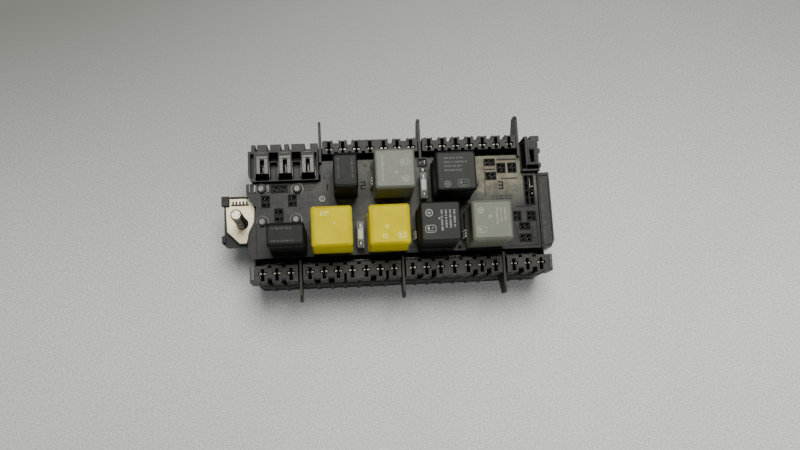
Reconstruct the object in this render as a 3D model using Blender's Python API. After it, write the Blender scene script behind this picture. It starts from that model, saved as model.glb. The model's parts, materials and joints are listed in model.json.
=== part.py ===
"""Vehicle fuse and relay box: a relay deck between two fuse rails, on a harness housing with a battery stud.

Every length below is in millimetres and becomes metres where a mesh is made.
X runs along the fuse rails, Y towards the rear rail, Z up. The box stands on Z = 0.
The outlines are drawn about the middle guide fin of the front rail, and the empty "box_datum"
moves them so that the whole object is centred on the origin.
"""

import math

import bmesh
import bpy
from mathutils import Matrix, Vector

MM = 0.001
GAP = 0.35                       # between pieces that rest on each other

# --- fuse rails --------------------------------------------------------------
PITCH = 10.0                     # one fuse way to the next
FIN_GAP = 3.4                    # extra room between two groups of ways
CONTACT_Y = 44.6                 # fuse contacts, front and rear, from the middle line
RAIL_OUTER_Y = 51.0
FRONT_INNER_Y = 39.0
REAR_INNER_Y = 41.0
RAIL_BOTTOM = 30.0
RAIL_TOP = 52.0
FRONT_LEFT_END = -109.0
FRONT_RIGHT_END = 108.4
REAR_SHIFT = 16.6                # middle fin of the rear rail, from that of the front rail

# --- one fuse way, seen from above -------------------------------------------
SLOT_HALF = 1.1                  # blade slot, outwards of the contact
SLOT_END = 5.3
ARM_HALF = 2.9                   # pocket of the two contact tines
ARM_DEPTH = 1.9
HOLE_HALF = 1.1                  # terminal release hole, inwards of the contact
HOLE_END = 3.2
INNER_NOTCH = (2.4, 1.5)         # width and depth of the notches between ways, in the rail's inner edge
# width and depth of those in the outer edge, from the left; None where there is none
OUTER_NOTCHES = {
    "front_fuse_block_1": [(3.2, 3.0), (3.0, 2.2)],
    "front_fuse_block_2": [(4.8, 1.8), (4.2, 2.4), (1.6, 4.5), None, (3.9, 2.6), (1.9, 5.2)],
    "front_fuse_block_3": [(4.4, 2.0), (3.2, 4.4), None, None, (3.4, 3.2), (3.2, 3.6)],
    "front_fuse_block_4": [(3.6, 3.0), (3.4, 3.2)],
    "rear_fuse_block_1": [(5.6, 1.9), (3.0, 3.1), None, None, (3.1, 3.2), (5.2, 1.6)],
    "rear_fuse_block_2": [(4.4, 1.8), (3.0, 3.4), (4.0, 2.0), (3.0, 2.4), (3.4, 2.2), (3.2, 2.8)],
}

# --- contact combs -----------------------------------------------------------
TINE_INNER, TINE_OUTER = 0.7, 2.4
COMB_THICK = 1.2
COMB_BOTTOM, COMB_BASE_TOP, TINE_TOP = 26.8, 29.6, 50.6

# --- guide fins --------------------------------------------------------------
FIN_THICK = 1.8
FIN_INNER_Y, FRONT_FIN_TIP_Y, REAR_FIN_TIP_Y = 35.4, 65.2, 67.3
FIN_TOP, FIN_DECK_BOTTOM, FIN_INNER_BOTTOM, FIN_ROOT_BOTTOM, FIN_TIP_BOTTOM = 50.2, 46.4, 33.0, 26.5, 37.5

# --- housing levels ----------------------------------------------------------
HOUSING_LEFT, HOUSING_RIGHT, HOUSING_Y = -107.5, 108.5, 51.4
HOUSING_WALL = 2.6
COVER_TOP = 2.2
HOUSING_TOP = 29.6
CARRIER_BOTTOM, CARRIER_TOP = 29.9, 32.0
DECK_BOTTOM, DECK_UNDERSIDE, DECK_TOP = 32.4, 43.2, 46.0
DECK_WALL = 1.6
PEDESTAL_BOTTOM, PEDESTAL_TOP = 38.0, 51.7

# --- relays ------------------------------------------------------------------
RELAY_TOP = 86.0
RELAY_BASE_BOTTOM = PEDESTAL_TOP + GAP
RELAY_FLANGE = 1.3
RELAY_HEADER = 4.2
CAP_WALL = 1.2
BLADE_LENGTH = 11.0
BLADE_WIDTH, BLADE_THICK = 6.3, 0.8
CAVITY_WIDTH, CAVITY_THICK = 7.1, 1.9
CAVITY_BOTTOM = RELAY_BASE_BOTTOM - BLADE_LENGTH - 1.2
FULL_SIZE = (28.6, 28.6)
SLIM_SIZE = (26.4, 17.4)
# blade places from the relay's middle, and whether the blade's width runs along x
FULL_BLADES = [
    (0.0, 8.2, True), (0.0, -8.8, True), (-8.6, -0.6, False), (8.6, -0.6, False), (0.0, -0.6, True),
]
SLIM_BLADES = [(-8.4, 0.0, False), (8.4, 0.0, False), (0.0, 4.4, True), (0.0, -4.4, True)]
# name: (x, y, slim, quarter turn, colour)
RELAYS = {
    "relay_yellow_left": (-49.8, -18.0, False, False, "yellow"),
    "relay_yellow_right": (-10.3, -18.2, False, False, "yellow"),
    "relay_black_front": (24.6, -17.6, False, False, "black"),
    "relay_pale_grey": (60.4, -18.0, False, False, "pale_grey"),
    "relay_grey_rear": (-4.9, 20.6, False, False, "grey"),
    "relay_black_rear": (37.4, 17.4, False, False, "black"),
    "relay_slim_rear": (-39.0, 20.4, True, True, "black"),
    "relay_slim_front": (-81.2, -22.6, True, False, "black"),
}

# --- blade fuses on the deck ---------------------------------------------------
FUSES = {"fuse_front": (-29.8, -20.0), "fuse_rear": (17.4, 14.2)}
FUSE_LENGTH, FUSE_THICK, FUSE_BODY = 19.1, 5.1, 11.4
FUSE_BLADE_SPACING, FUSE_BLADE_WIDTH, FUSE_BLADE_THICK, FUSE_BLADE_LENGTH = 10.3, 5.2, 0.65, 7.4
FUSE_BOTTOM = DECK_TOP + GAP

# --- socket inserts that show in the deck: (x, y, size x, size y) --------------
INSERTS = {
    "socket_insert_left": [
        (-87.4, 17.4, 11.4, 5.0), (-97.4, 8.4, 5.6, 8.4), (-78.0, 8.6, 5.6, 8.4), (-88.0, -2.0, 5.8, 9.4),
    ],
    "socket_insert_rear_right": [
        (68.6, 32.3, 7.6, 5.0), (68.8, 21.8, 7.8, 5.4), (77.0, 27.6, 6.2, 7.2), (85.2, 27.6, 6.2, 7.2),
    ],
    "socket_insert_front_right": [
        (86.6, -9.2, 5.2, 6.8), (97.0, -9.4, 6.0, 6.8), (91.6, -16.8, 7.6, 5.0), (91.6, -25.6, 8.4, 5.4),
    ],
    "connector_insert_right": [(96.9, 10.1, 7.0, 22.2)],
}
INSERT_BASE, INSERT_FOOT, INSERT_TOP = 36.0, 38.6, 45.4
INSERT_SLOT_DEPTH = 5.0
POSTS = [(-100.0, 18.0), (-74.2, 17.2), (-99.8, -6.2), (-75.6, -5.2)]
POST_RADIUS, POST_TOP = 3.4, 49.2

# --- outlines, seen from above -------------------------------------------------
DECK_OUTLINE = [
    (-57.0, 21.9), (-57.0, 37.3), (91.4, 37.3), (91.4, 23.2), (102.8, 23.2), (102.8, -33.3), (-108.4, -33.3),
    (-110.6, -26.4), (-110.4, -15.4), (-105.4, -4.6), (-104.3, 4.9), (-111.2, 14.1), (-111.2, 21.9),
]
END_COVER = [(103.2, -33.3), (109.8, -33.3), (112.5, -28.4), (112.3, 23.0), (103.2, 23.0)]
BRACKET_TOP_OUTLINE = [
    (-130.2, 15.0), (-130.2, 8.6), (-128.4, 7.6), (-128.4, -13.4), (-130.2, -14.4), (-130.2, -19.4),
    (-126.6, -22.8), (-111.4, -22.8), (-111.0, -15.8), (-106.0, -4.8), (-104.9, 4.6), (-111.8, 13.8),
    (-112.4, 15.0),
]
BRACKET_LEG = [
    (-124.0, 10.6), (-124.0, -8.0), (-118.0, -14.0), (-110.5, -14.0), (-108.1, -9.2), (-108.1, 8.8),
    (-109.4, 10.6),
]
BRACKET_POSTS = [(-127.4, 11.2, 5.2, 7.2, 40.0), (-128.6, -17.0, 2.8, 4.6, 39.4)]
BRACKET_BOTTOM, BRACKET_STEP, BRACKET_TOP = 12.0, 33.0, 36.6
PLATE_OUTLINE = [
    (-127.0, 6.8), (-124.2, 6.8), (-124.2, 13.0), (-111.8, 13.0), (-106.2, 5.5), (-106.9, -4.6),
    (-110.6, -11.9), (-112.2, -20.2), (-117.4, -20.2), (-126.2, -11.3),
]
PLATE_BOTTOM, PLATE_TOP = 36.9, 38.4
STUD_AT = (-115.2, -5.6)
STUD_RADIUS, STUD_TOP = 4.0, 74.0
MAXI_WAYS = (-98.8, -82.3, -65.8)
MAXI_Y, MAXI_SLOT_HALF, MAXI_TOP = (28.6, 38.2), 1.6, 51.2
RIGHT_MAXI_AT = (99.8, 35.0)
MAXI_LEFT, MAXI_RIGHT, MAXI_FRONT, MAXI_BACK, MAXI_TOOTH_BACK = -109.0, -58.3, 22.3, 45.0, 50.6
MAXI_TEETH = [
    (-63.9, MAXI_RIGHT), (-77.6, -67.7), (-82.8, -79.4), (-93.0, -85.2), (-102.4, -95.2), (-106.8, -103.8),
]
MAXI_TOOTH_TOP = 48.4
RIGHT_MAXI_OUTLINE = [
    (91.9, 23.6), (105.0, 23.6), (105.0, 26.4), (106.2, 26.4), (106.2, 29.6), (104.8, 29.6), (104.8, 37.4),
    (106.2, 37.4), (106.2, 40.4), (104.8, 40.4), (104.8, 46.6), (106.0, 46.6), (106.0, 50.2), (99.4, 50.2),
    (99.4, 47.6), (97.6, 47.6), (97.6, 50.0), (94.8, 50.0), (94.8, 47.4), (91.9, 47.4),
]

CARRIER_OUTLINE = [
    (-103.5, -38.6), (102.5, -38.6), (102.5, 22.8), (91.0, 22.8), (91.0, 40.6), (-57.4, 40.6), (-57.4, 21.0),
    (-103.5, 21.0),
]
BUSBAR_OUTLINE = [
    (-102.0, -41.5), (96.0, -41.5), (96.0, -33.0), (-92.0, -33.0), (-92.0, 33.0), (96.0, 33.0), (96.0, 41.5),
    (-102.0, 41.5),
]

# --- harness sockets in the underside -------------------------------------------
HARNESS_SIZE = (186.0, 30.0)
HARNESS_GROUPS = (-62.0, 0.0, 62.0)
HARNESS_COLUMNS, HARNESS_CELL_PITCH = 8, 6.6

COLOURS = {
    "housing_black": ((0.022, 0.022, 0.024), 0.55, 0.0),
    "deck_grey": ((0.085, 0.083, 0.080), 0.6, 0.0),
    "rail_black": ((0.040, 0.040, 0.041), 0.55, 0.0),
    "yellow": ((0.72, 0.58, 0.03), 0.45, 0.0),
    "black": ((0.045, 0.047, 0.048), 0.5, 0.0),
    "grey": ((0.33, 0.34, 0.32), 0.5, 0.0),
    "pale_grey": ((0.42, 0.43, 0.39), 0.5, 0.0),
    "fuse_clear": ((0.70, 0.74, 0.70), 0.3, 0.0),
    "contact_tin": ((0.62, 0.61, 0.58), 0.3, 1.0),
    "plate_tin": ((0.78, 0.72, 0.60), 0.3, 1.0),
    "coil_copper": ((0.55, 0.24, 0.10), 0.35, 1.0),
}


def clear_scene():
    for item in list(bpy.data.objects):
        bpy.data.objects.remove(item)


def material(name):
    made = bpy.data.materials.get(name)
    if made is None:
        made = bpy.data.materials.new(name)
        made.use_nodes = True
        shader = made.node_tree.nodes["Principled BSDF"]
        colour, roughness, metallic = COLOURS[name]
        shader.inputs["Base Color"].default_value = (*colour, 1.0)
        shader.inputs["Roughness"].default_value = roughness
        shader.inputs["Metallic"].default_value = metallic
    return made


def empty(name, location, parent=None):
    item = bpy.data.objects.new(name, None)
    bpy.context.scene.collection.objects.link(item)
    item.location = Vector(location) * MM
    item.parent = parent
    return item


def piece(name, mesh, colour, parent, location=(0.0, 0.0, 0.0)):
    item = bpy.data.objects.new(name, mesh)
    bpy.context.scene.collection.objects.link(item)
    if not mesh.materials:
        mesh.materials.append(material(colour))
    item.location = Vector(location) * MM
    item.parent = parent
    return item


def mesh_from(name, build):
    """A mesh made by build(bm), with its faces pointing out and its sharp edges kept."""
    bm = bmesh.new()
    build(bm)
    bmesh.ops.recalc_face_normals(bm, faces=bm.faces)
    mesh = bpy.data.meshes.new(name)
    bm.to_mesh(mesh)
    bm.free()
    mesh.shade_smooth()
    mesh.set_sharp_from_angle(angle=math.radians(32))
    return mesh


def add_prism(bm, outline, low, high, axis="Z"):
    """An outline extruded along Z, or along X or Y with its points as (y, z) or (x, z)."""
    place = {
        "Z": lambda a, b, c: (a, b, c),
        "X": lambda a, b, c: (c, a, b),
        "Y": lambda a, b, c: (a, c, b),
    }[axis]
    rings = [[bm.verts.new(Vector(place(a, b, level)) * MM) for a, b in outline] for level in (low, high)]
    bm.faces.new(rings[0])
    bm.faces.new(rings[1])
    count = len(outline)
    for i in range(count):
        j = (i + 1) % count
        bm.faces.new((rings[0][i], rings[0][j], rings[1][j], rings[1][i]))


def prism_mesh(name, outline, low, high, axis="Z"):
    return mesh_from(name, lambda bm: add_prism(bm, outline, low, high, axis))


def rectangle(x, y, width, depth):
    return [
        (x - width / 2, y - depth / 2), (x + width / 2, y - depth / 2),
        (x + width / 2, y + depth / 2), (x - width / 2, y + depth / 2),
    ]


def add_box(bm, x, y, width, depth, low, high):
    add_prism(bm, rectangle(x, y, width, depth), low, high)


def round_rectangle(width, depth, radius, steps=3):
    """Corners as arcs of steps segments, anticlockwise about the origin."""
    points = []
    for corner, (sx, sy) in enumerate([(1, 1), (-1, 1), (-1, -1), (1, -1)]):
        for step in range(steps + 1):
            angle = math.radians(90 * corner + 90 * step / steps)
            along = sx * (width / 2 - radius) + radius * math.cos(angle)
            across = sy * (depth / 2 - radius) + radius * math.sin(angle)
            points.append((along, across))
    return points


def circle(x, y, radius, count=20):
    turns = [2 * math.pi * i / count for i in range(count)]
    return [(x + radius * math.cos(turn), y + radius * math.sin(turn)) for turn in turns]


def inset(outline, distance):
    """The outline moved inwards by distance, each corner where its two moved sides meet."""
    points = [Vector(p) for p in outline]
    area = sum(a.x * b.y - b.x * a.y for a, b in zip(points, points[1:] + points[:1]))
    side = 1.0 if area > 0 else -1.0
    moved = []
    for before, here, after in zip(points[-1:] + points[:-1], points, points[1:] + points[:1]):
        first = (here - before).normalized()
        second = (after - here).normalized()
        n1 = Vector((-first.y, first.x)) * side
        n2 = Vector((-second.y, second.x)) * side
        moved.append(tuple(here + (n1 + n2) * (distance / (1.0 + n1.dot(n2)))))
    return moved


def boolean(mesh, name, operation, build):
    """mesh united with, or cut by, the closed shapes that build(bm) makes. Returns the new mesh."""
    target = bpy.data.objects.new(name + "_target", mesh)
    other = bpy.data.objects.new(name + "_other", mesh_from(name + "_other", build))
    for item in (target, other):
        bpy.context.scene.collection.objects.link(item)
    step = target.modifiers.new("step", "BOOLEAN")
    step.operation = operation
    step.object = other
    step.solver = "EXACT"
    bpy.context.view_layer.update()
    evaluated = target.evaluated_get(bpy.context.evaluated_depsgraph_get())
    made = bpy.data.meshes.new_from_object(evaluated)
    made.name = name
    made.materials.clear()
    bpy.data.objects.remove(target)
    bpy.data.objects.remove(other)
    return made


# --- fuse rails and fins ---------------------------------------------------------

def group_centres(count, start):
    return [start + PITCH * i for i in range(count)]


def rail_outline(left, right, ways, inner, outer_notches):
    """One fuse block seen from above, as a rear one: notches between the ways in both long edges."""
    width, depth = INNER_NOTCH
    middles = [(a + b) / 2 for a, b in zip(ways, ways[1:])]
    points = [(left, inner), (left, RAIL_OUTER_Y)]
    for x, notch in zip(middles, outer_notches):
        if notch:
            half, floor = notch[0] / 2, RAIL_OUTER_Y - notch[1]
            points += [(x - half, RAIL_OUTER_Y), (x - half, floor)]
            points += [(x + half, floor), (x + half, RAIL_OUTER_Y)]
    points += [(right, RAIL_OUTER_Y), (right, inner)]
    for x in reversed(middles):
        points += [(x + width / 2, inner), (x + width / 2, inner + depth)]
        points += [(x - width / 2, inner + depth), (x - width / 2, inner)]
    return points


def way_outline(x, side):
    """The opening of one fuse way: the blade slot, the tines' pocket across it, and the release hole."""
    near, far = CONTACT_Y - ARM_DEPTH / 2, CONTACT_Y + ARM_DEPTH / 2
    half = [
        (HOLE_HALF, CONTACT_Y - HOLE_END), (HOLE_HALF, near), (ARM_HALF, near), (ARM_HALF, far),
        (SLOT_HALF, far), (SLOT_HALF, CONTACT_Y + SLOT_END),
    ]
    return [(x + a, side * b) for a, b in half] + [(x - a, side * b) for a, b in reversed(half)]


def fuse_block(name, left, right, ways, inner, side):
    outline = rail_outline(left, right, ways, inner, OUTER_NOTCHES[name])
    mesh = prism_mesh(name, [(x, side * y) for x, y in outline], RAIL_BOTTOM, RAIL_TOP)

    def openings(bm):
        for x in ways:
            add_prism(bm, way_outline(x, side), RAIL_BOTTOM - 1, RAIL_TOP + 1)
    return boolean(mesh, name, "DIFFERENCE", openings)


def comb_outline(ways):
    """A bus strip with a pair of tines for each way, as (x, z)."""
    points = [(ways[0] - TINE_OUTER - 1.0, COMB_BOTTOM), (ways[0] - TINE_OUTER - 1.0, COMB_BASE_TOP)]
    for x in ways:
        for low, high in ((x - TINE_OUTER, x - TINE_INNER), (x + TINE_INNER, x + TINE_OUTER)):
            points += [(low, COMB_BASE_TOP), (low, TINE_TOP), (high, TINE_TOP), (high, COMB_BASE_TOP)]
    points += [(ways[-1] + TINE_OUTER + 1.0, COMB_BASE_TOP), (ways[-1] + TINE_OUTER + 1.0, COMB_BOTTOM)]
    return points


def make_fin(name, x, side, datum):
    """A guide fin between two fuse groups: flat on top, its lower edge rising to the tip."""
    root, step = RAIL_OUTER_Y + 0.9, FIN_INNER_Y + 2.6
    tip = REAR_FIN_TIP_Y if side > 0 else FRONT_FIN_TIP_Y
    outline = [
        (FIN_INNER_Y, FIN_DECK_BOTTOM), (step, FIN_DECK_BOTTOM), (step, FIN_INNER_BOTTOM),
        (root, FIN_INNER_BOTTOM), (root, FIN_ROOT_BOTTOM), (tip - 2.0, FIN_TIP_BOTTOM - 1.5),
        (tip, FIN_TIP_BOTTOM), (tip, FIN_TOP - 4.0), (tip - 1.2, FIN_TOP - 1.2), (tip - 4.0, FIN_TOP),
        (FIN_INNER_Y, FIN_TOP),
    ]
    outline = [(side * y, z) for y, z in outline]
    piece(name, prism_mesh(name, outline, x - FIN_THICK / 2, x + FIN_THICK / 2, "X"), "rail_black", datum)


def make_rails(datum):
    step = 7 * PITCH + FIN_GAP
    first = -(3 * PITCH + FIN_GAP / 2 + 3 * PITCH + PITCH / 2)
    groups = {
        "front_fuse_block_1": group_centres(3, first - FIN_GAP - 3 * PITCH),
        "front_fuse_block_2": group_centres(7, first),
        "front_fuse_block_3": group_centres(7, first + step),
        "front_fuse_block_4": group_centres(3, first + 2 * step),
    }
    for name, ways in groups.items():
        left = FRONT_LEFT_END if name.endswith("1") else ways[0] - PITCH / 2
        right = FRONT_RIGHT_END if name.endswith("4") else ways[-1] + PITCH / 2
        piece(name, fuse_block(name, left, right, ways, FRONT_INNER_Y, -1), "rail_black", datum)
    front_ways = [x for ways in groups.values() for x in ways]
    rear_ways = []
    for number, start in ((1, first + REAR_SHIFT), (2, first + REAR_SHIFT + step)):
        name = f"rear_fuse_block_{number}"
        ways = group_centres(7, start)
        rear_ways += ways
        block = fuse_block(name, ways[0] - PITCH / 2, ways[-1] + PITCH / 2, ways, REAR_INNER_Y, 1)
        piece(name, block, "rail_black", datum)
    combs = (("front_contact_comb", front_ways, -CONTACT_Y), ("rear_contact_comb", rear_ways, CONTACT_Y))
    for name, ways, y in combs:
        comb = prism_mesh(name, comb_outline(ways), y - COMB_THICK / 2, y + COMB_THICK / 2, "Y")
        piece(name, comb, "contact_tin", datum)
    for number in (-1, 0, 1):
        label = ("left", "middle", "right")[number + 1]
        make_fin(f"front_guide_fin_{label}", number * step, -1, datum)
        make_fin(f"rear_guide_fin_{label}", REAR_SHIFT + number * step, 1, datum)


# --- heavy fuse holders -----------------------------------------------------------

def make_maxi_holders(datum):
    """Three heavy fuse ways at the rear left, and one at the rear right, each a slot with a release pocket."""
    low_y, high_y = MAXI_Y
    slot_y = (low_y + high_y) / 2
    outline = [(MAXI_RIGHT, MAXI_FRONT)]
    for left, right in MAXI_TEETH:
        outline += [(right, MAXI_BACK), (right, MAXI_TOOTH_BACK), (left, MAXI_TOOTH_BACK), (left, MAXI_BACK)]
    outline += [(MAXI_LEFT, MAXI_BACK), (MAXI_LEFT, 27.0), (MAXI_LEFT + 2.6, MAXI_FRONT)]
    outline = list(dict.fromkeys(outline))

    def left_cuts(bm):
        for x in MAXI_WAYS:
            add_box(bm, x, slot_y, 2 * MAXI_SLOT_HALF, high_y - low_y, RAIL_BOTTOM - 1, RAIL_TOP)
            add_box(bm, x, 25.5, 9.8, 5.0, 38.0, RAIL_TOP)
        for before, after in zip(MAXI_WAYS, MAXI_WAYS[1:]):
            middle = (before + after) / 2
            add_box(bm, middle, 40.4, 6.6, 6.6, 38.0, RAIL_TOP)
            add_box(bm, middle, 29.9, 5.4, 12.8, 45.0, RAIL_TOP)
        add_box(bm, -106.0, 34.0, 2.4, 18.0, 45.5, RAIL_TOP)
        add_box(bm, -60.1, 36.0, 1.6, 14.0, 44.0, RAIL_TOP)
        add_box(bm, (MAXI_LEFT + MAXI_RIGHT) / 2, 48.4, 60.0, 6.0, MAXI_TOOTH_TOP, RAIL_TOP)

    def right_cuts(bm):
        x, y = RIGHT_MAXI_AT
        add_box(bm, x, y, 2 * MAXI_SLOT_HALF, high_y - low_y, RAIL_BOTTOM - 1, RAIL_TOP)
        add_box(bm, 93.0, 36.6, 4.2, 22.6, 36.0, RAIL_TOP)
        add_box(bm, x, 26.6, 8.6, 3.2, 38.0, RAIL_TOP)
    holders = (
        ("maxi_fuse_block", outline, left_cuts), ("maxi_fuse_holder_right", RIGHT_MAXI_OUTLINE, right_cuts),
    )
    for name, shape, cuts in holders:
        block = prism_mesh(name, shape, RAIL_BOTTOM, MAXI_TOP)
        piece(name, boolean(block, name, "DIFFERENCE", cuts), "rail_black", datum)
    right_x, right_y = RIGHT_MAXI_AT
    contacts = (("maxi_contact_left", MAXI_WAYS, slot_y), ("maxi_contact_right", (right_x,), right_y))
    for name, ways, y in contacts:
        centre = (ways[0] + ways[-1]) / 2
        length = ways[-1] - ways[0] + 5.0
        strip = mesh_from(name, lambda bm: add_box(bm, centre, y, length, 7.6, 27.0, COMB_BASE_TOP))

        def tongues(bm, ways=ways, y=y):
            for x in ways:
                add_box(bm, x, y, 1.2, 7.6, COMB_BASE_TOP - 1, 43.0)
        piece(name, boolean(strip, name, "UNION", tongues), "contact_tin", datum)


# --- relay deck, its inserts and the end cover -------------------------------------

def make_deck(datum):
    mesh = prism_mesh("relay_deck", DECK_OUTLINE, DECK_BOTTOM, DECK_TOP)
    inner = inset(DECK_OUTLINE, DECK_WALL)

    def hollow(bm):
        add_prism(bm, inner, DECK_BOTTOM - 1, DECK_UNDERSIDE)
    mesh = boolean(mesh, "relay_deck", "DIFFERENCE", hollow)

    def raised(bm):
        for x, y, slim, turned, _ in RELAYS.values():
            width, depth = SLIM_SIZE if slim else FULL_SIZE
            if turned:
                width, depth = depth, width
            add_box(bm, x, y, width - 2.0, depth - 2.0, PEDESTAL_BOTTOM, PEDESTAL_TOP)
        for x, y in FUSES.values():
            add_box(bm, x, y, FUSE_THICK + 3.0, FUSE_LENGTH + 2.4, PEDESTAL_BOTTOM, DECK_TOP - 0.6)
        for x, y in POSTS:
            add_prism(bm, circle(x, y, POST_RADIUS), DECK_UNDERSIDE + 0.5, POST_TOP)
    mesh = boolean(mesh, "relay_deck", "UNION", raised)

    def cavities(bm):
        for x, y, slim, turned, _ in RELAYS.values():
            for bx, by, along_x in SLIM_BLADES if slim else FULL_BLADES:
                if turned:
                    bx, by, along_x = -by, bx, not along_x
                size = (CAVITY_WIDTH, CAVITY_THICK) if along_x else (CAVITY_THICK, CAVITY_WIDTH)
                add_box(bm, x + bx, y + by, *size, CAVITY_BOTTOM, PEDESTAL_TOP + 1)
        for x, y in FUSES.values():
            for side in (-1, 1):
                blade_y = y + side * FUSE_BLADE_SPACING / 2
                add_box(bm, x, blade_y, 1.5, 5.9, PEDESTAL_BOTTOM + 0.6, DECK_TOP + 1)
        for towers in INSERTS.values():
            for x, y, width, depth in towers:
                add_box(bm, x, y, width + 2 * GAP, depth + 2 * GAP, DECK_UNDERSIDE - 1, DECK_TOP + 1)
    mesh = boolean(mesh, "relay_deck", "DIFFERENCE", cavities)
    piece("relay_deck", mesh, "deck_grey", datum)


def make_inserts(datum):
    """Black terminal carriers: towers that fill the deck's windows, on one foot below the deck."""
    for name, towers in INSERTS.items():
        left = min(x - w / 2 for x, _, w, _ in towers)
        right = max(x + w / 2 for x, _, w, _ in towers)
        front = min(y - d / 2 for _, y, _, d in towers)
        rear = max(y + d / 2 for _, y, _, d in towers)
        outline = rectangle((left + right) / 2, (front + rear) / 2, right - left, rear - front)
        foot = prism_mesh(name, outline, INSERT_BASE, INSERT_FOOT)

        def rise(bm, towers=towers):
            for x, y, width, depth in towers:
                add_box(bm, x, y, width, depth, INSERT_FOOT - 1, INSERT_TOP)

        def slots(bm, towers=towers):
            for x, y, width, depth in towers:
                columns, rows = (2, 2) if depth > 20 else (2, 1) if width >= depth else (1, 2)
                size = (width / columns - 1.6, depth / rows - 1.8)
                size = (min(size[0], 1.9), size[1]) if columns == 2 else (size[0], min(size[1], 1.9))
                for column in range(columns):
                    for row in range(rows):
                        slot_x = x + ((column + 0.5) / columns - 0.5) * width
                        slot_y = y + ((row + 0.5) / rows - 0.5) * depth
                        add_box(bm, slot_x, slot_y, *size, INSERT_TOP - INSERT_SLOT_DEPTH, INSERT_TOP + 1)
        mesh = boolean(foot, name, "UNION", rise)
        piece(name, boolean(mesh, name, "DIFFERENCE", slots), "housing_black", datum)


def make_end_cover(datum):
    mesh = prism_mesh("end_cover", END_COVER, RAIL_BOTTOM, DECK_TOP + 1.2)
    inner = inset(END_COVER, 1.8)

    def hollow(bm):
        add_prism(bm, inner, RAIL_BOTTOM - 1, DECK_TOP - 1.0)
    mesh = boolean(mesh, "end_cover", "DIFFERENCE", hollow)
    piece("end_cover", mesh, "deck_grey", datum)


# --- housing ------------------------------------------------------------------------

def housing_outline(grow=0.0):
    corner = 4.0
    left, right, side = HOUSING_LEFT - grow, HOUSING_RIGHT + grow, HOUSING_Y + grow
    return [
        (left, -side + corner), (left + corner, -side), (right - corner, -side), (right, -side + corner),
        (right, side - corner), (right - corner, side), (left + corner, side), (left, side - corner),
    ]


def make_housing(datum):
    outer = housing_outline()
    mesh = prism_mesh("lower_housing", outer, COVER_TOP + GAP, HOUSING_TOP)

    def hollow(bm):
        add_prism(bm, inset(outer, HOUSING_WALL), 0.0, HOUSING_TOP + 1)
    mesh = boolean(mesh, "lower_housing", "DIFFERENCE", hollow)
    piece("lower_housing", mesh, "housing_black", datum)

    mesh = prism_mesh("bottom_cover", housing_outline(0.4), 0.0, COVER_TOP)

    def spigot(bm):
        add_prism(bm, inset(outer, HOUSING_WALL + 0.5), COVER_TOP - 1, COVER_TOP + 3)
    mesh = boolean(mesh, "bottom_cover", "UNION", spigot)

    def ports(bm):
        add_box(bm, 0.0, 0.0, HARNESS_SIZE[0] + 2 * GAP, HARNESS_SIZE[1] + 2 * GAP, -1.0, COVER_TOP + 5)
    piece("bottom_cover", boolean(mesh, "bottom_cover", "DIFFERENCE", ports), "housing_black", datum)

    name = "harness_socket_block"
    body = mesh_from(name, lambda bm: add_box(bm, 0.0, 0.0, *HARNESS_SIZE, 0.8, 12.0))

    def cells(bm):
        for middle in HARNESS_GROUPS:
            for column in range(HARNESS_COLUMNS):
                shift = (column - (HARNESS_COLUMNS - 1) / 2) * HARNESS_CELL_PITCH
                for row in (-1, 1):
                    add_box(bm, middle + shift, row * 7.0, 3.0, 9.0, -1.0, 9.0)
    piece(name, boolean(body, name, "DIFFERENCE", cells), "housing_black", datum)

    mesh = prism_mesh("carrier_plate", CARRIER_OUTLINE, CARRIER_BOTTOM, CARRIER_TOP)
    piece("carrier_plate", mesh, "housing_black", datum)
    piece("feed_busbar", prism_mesh("feed_busbar", BUSBAR_OUTLINE, 20.0, 22.0), "contact_tin", datum)


# --- battery terminal ---------------------------------------------------------------

def make_terminal(datum):
    mesh = prism_mesh("terminal_bracket", BRACKET_TOP_OUTLINE, BRACKET_STEP, BRACKET_TOP)

    def leg_and_posts(bm):
        add_prism(bm, BRACKET_LEG, BRACKET_BOTTOM, BRACKET_STEP + 1)
        for x, y, width, depth, top in BRACKET_POSTS:
            add_box(bm, x, y, width, depth, BRACKET_TOP - 1, top)
    mesh = boolean(mesh, "terminal_bracket", "UNION", leg_and_posts)
    hole = circle(*STUD_AT, STUD_RADIUS + 0.4, 24)

    def bore(bm):
        add_prism(bm, hole, 27.0, PLATE_TOP + 1)
    mesh = boolean(mesh, "terminal_bracket", "DIFFERENCE", bore)
    piece("terminal_bracket", mesh, "housing_black", datum)

    mesh = prism_mesh("terminal_plate", PLATE_OUTLINE, PLATE_BOTTOM, PLATE_TOP)
    mesh = boolean(mesh, "terminal_plate", "DIFFERENCE", bore)
    piece("terminal_plate", mesh, "plate_tin", datum)

    profile = [
        (0.0, 28.0), (STUD_RADIUS, 28.0), (STUD_RADIUS, STUD_TOP - 1.0), (3.1, STUD_TOP), (0.0, STUD_TOP),
    ]

    def turned(bm):
        rings = []
        for radius, z in profile:
            if radius == 0.0:
                rings.append([bm.verts.new(Vector((0.0, 0.0, z)) * MM)])
            else:
                rings.append([bm.verts.new(Vector((x, y, z)) * MM) for x, y in circle(0.0, 0.0, radius, 24)])
        for low, high in zip(rings, rings[1:]):
            for i in range(24):
                j = (i + 1) % 24
                ends = [low[i % len(low)], low[j % len(low)], high[j % len(high)], high[i % len(high)]]
                bm.faces.new(list(dict.fromkeys(ends)))
    piece("battery_stud", mesh_from("battery_stud", turned), "contact_tin", datum, (*STUD_AT, 0.0))


# --- plug-in relays and fuses ---------------------------------------------------------

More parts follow.
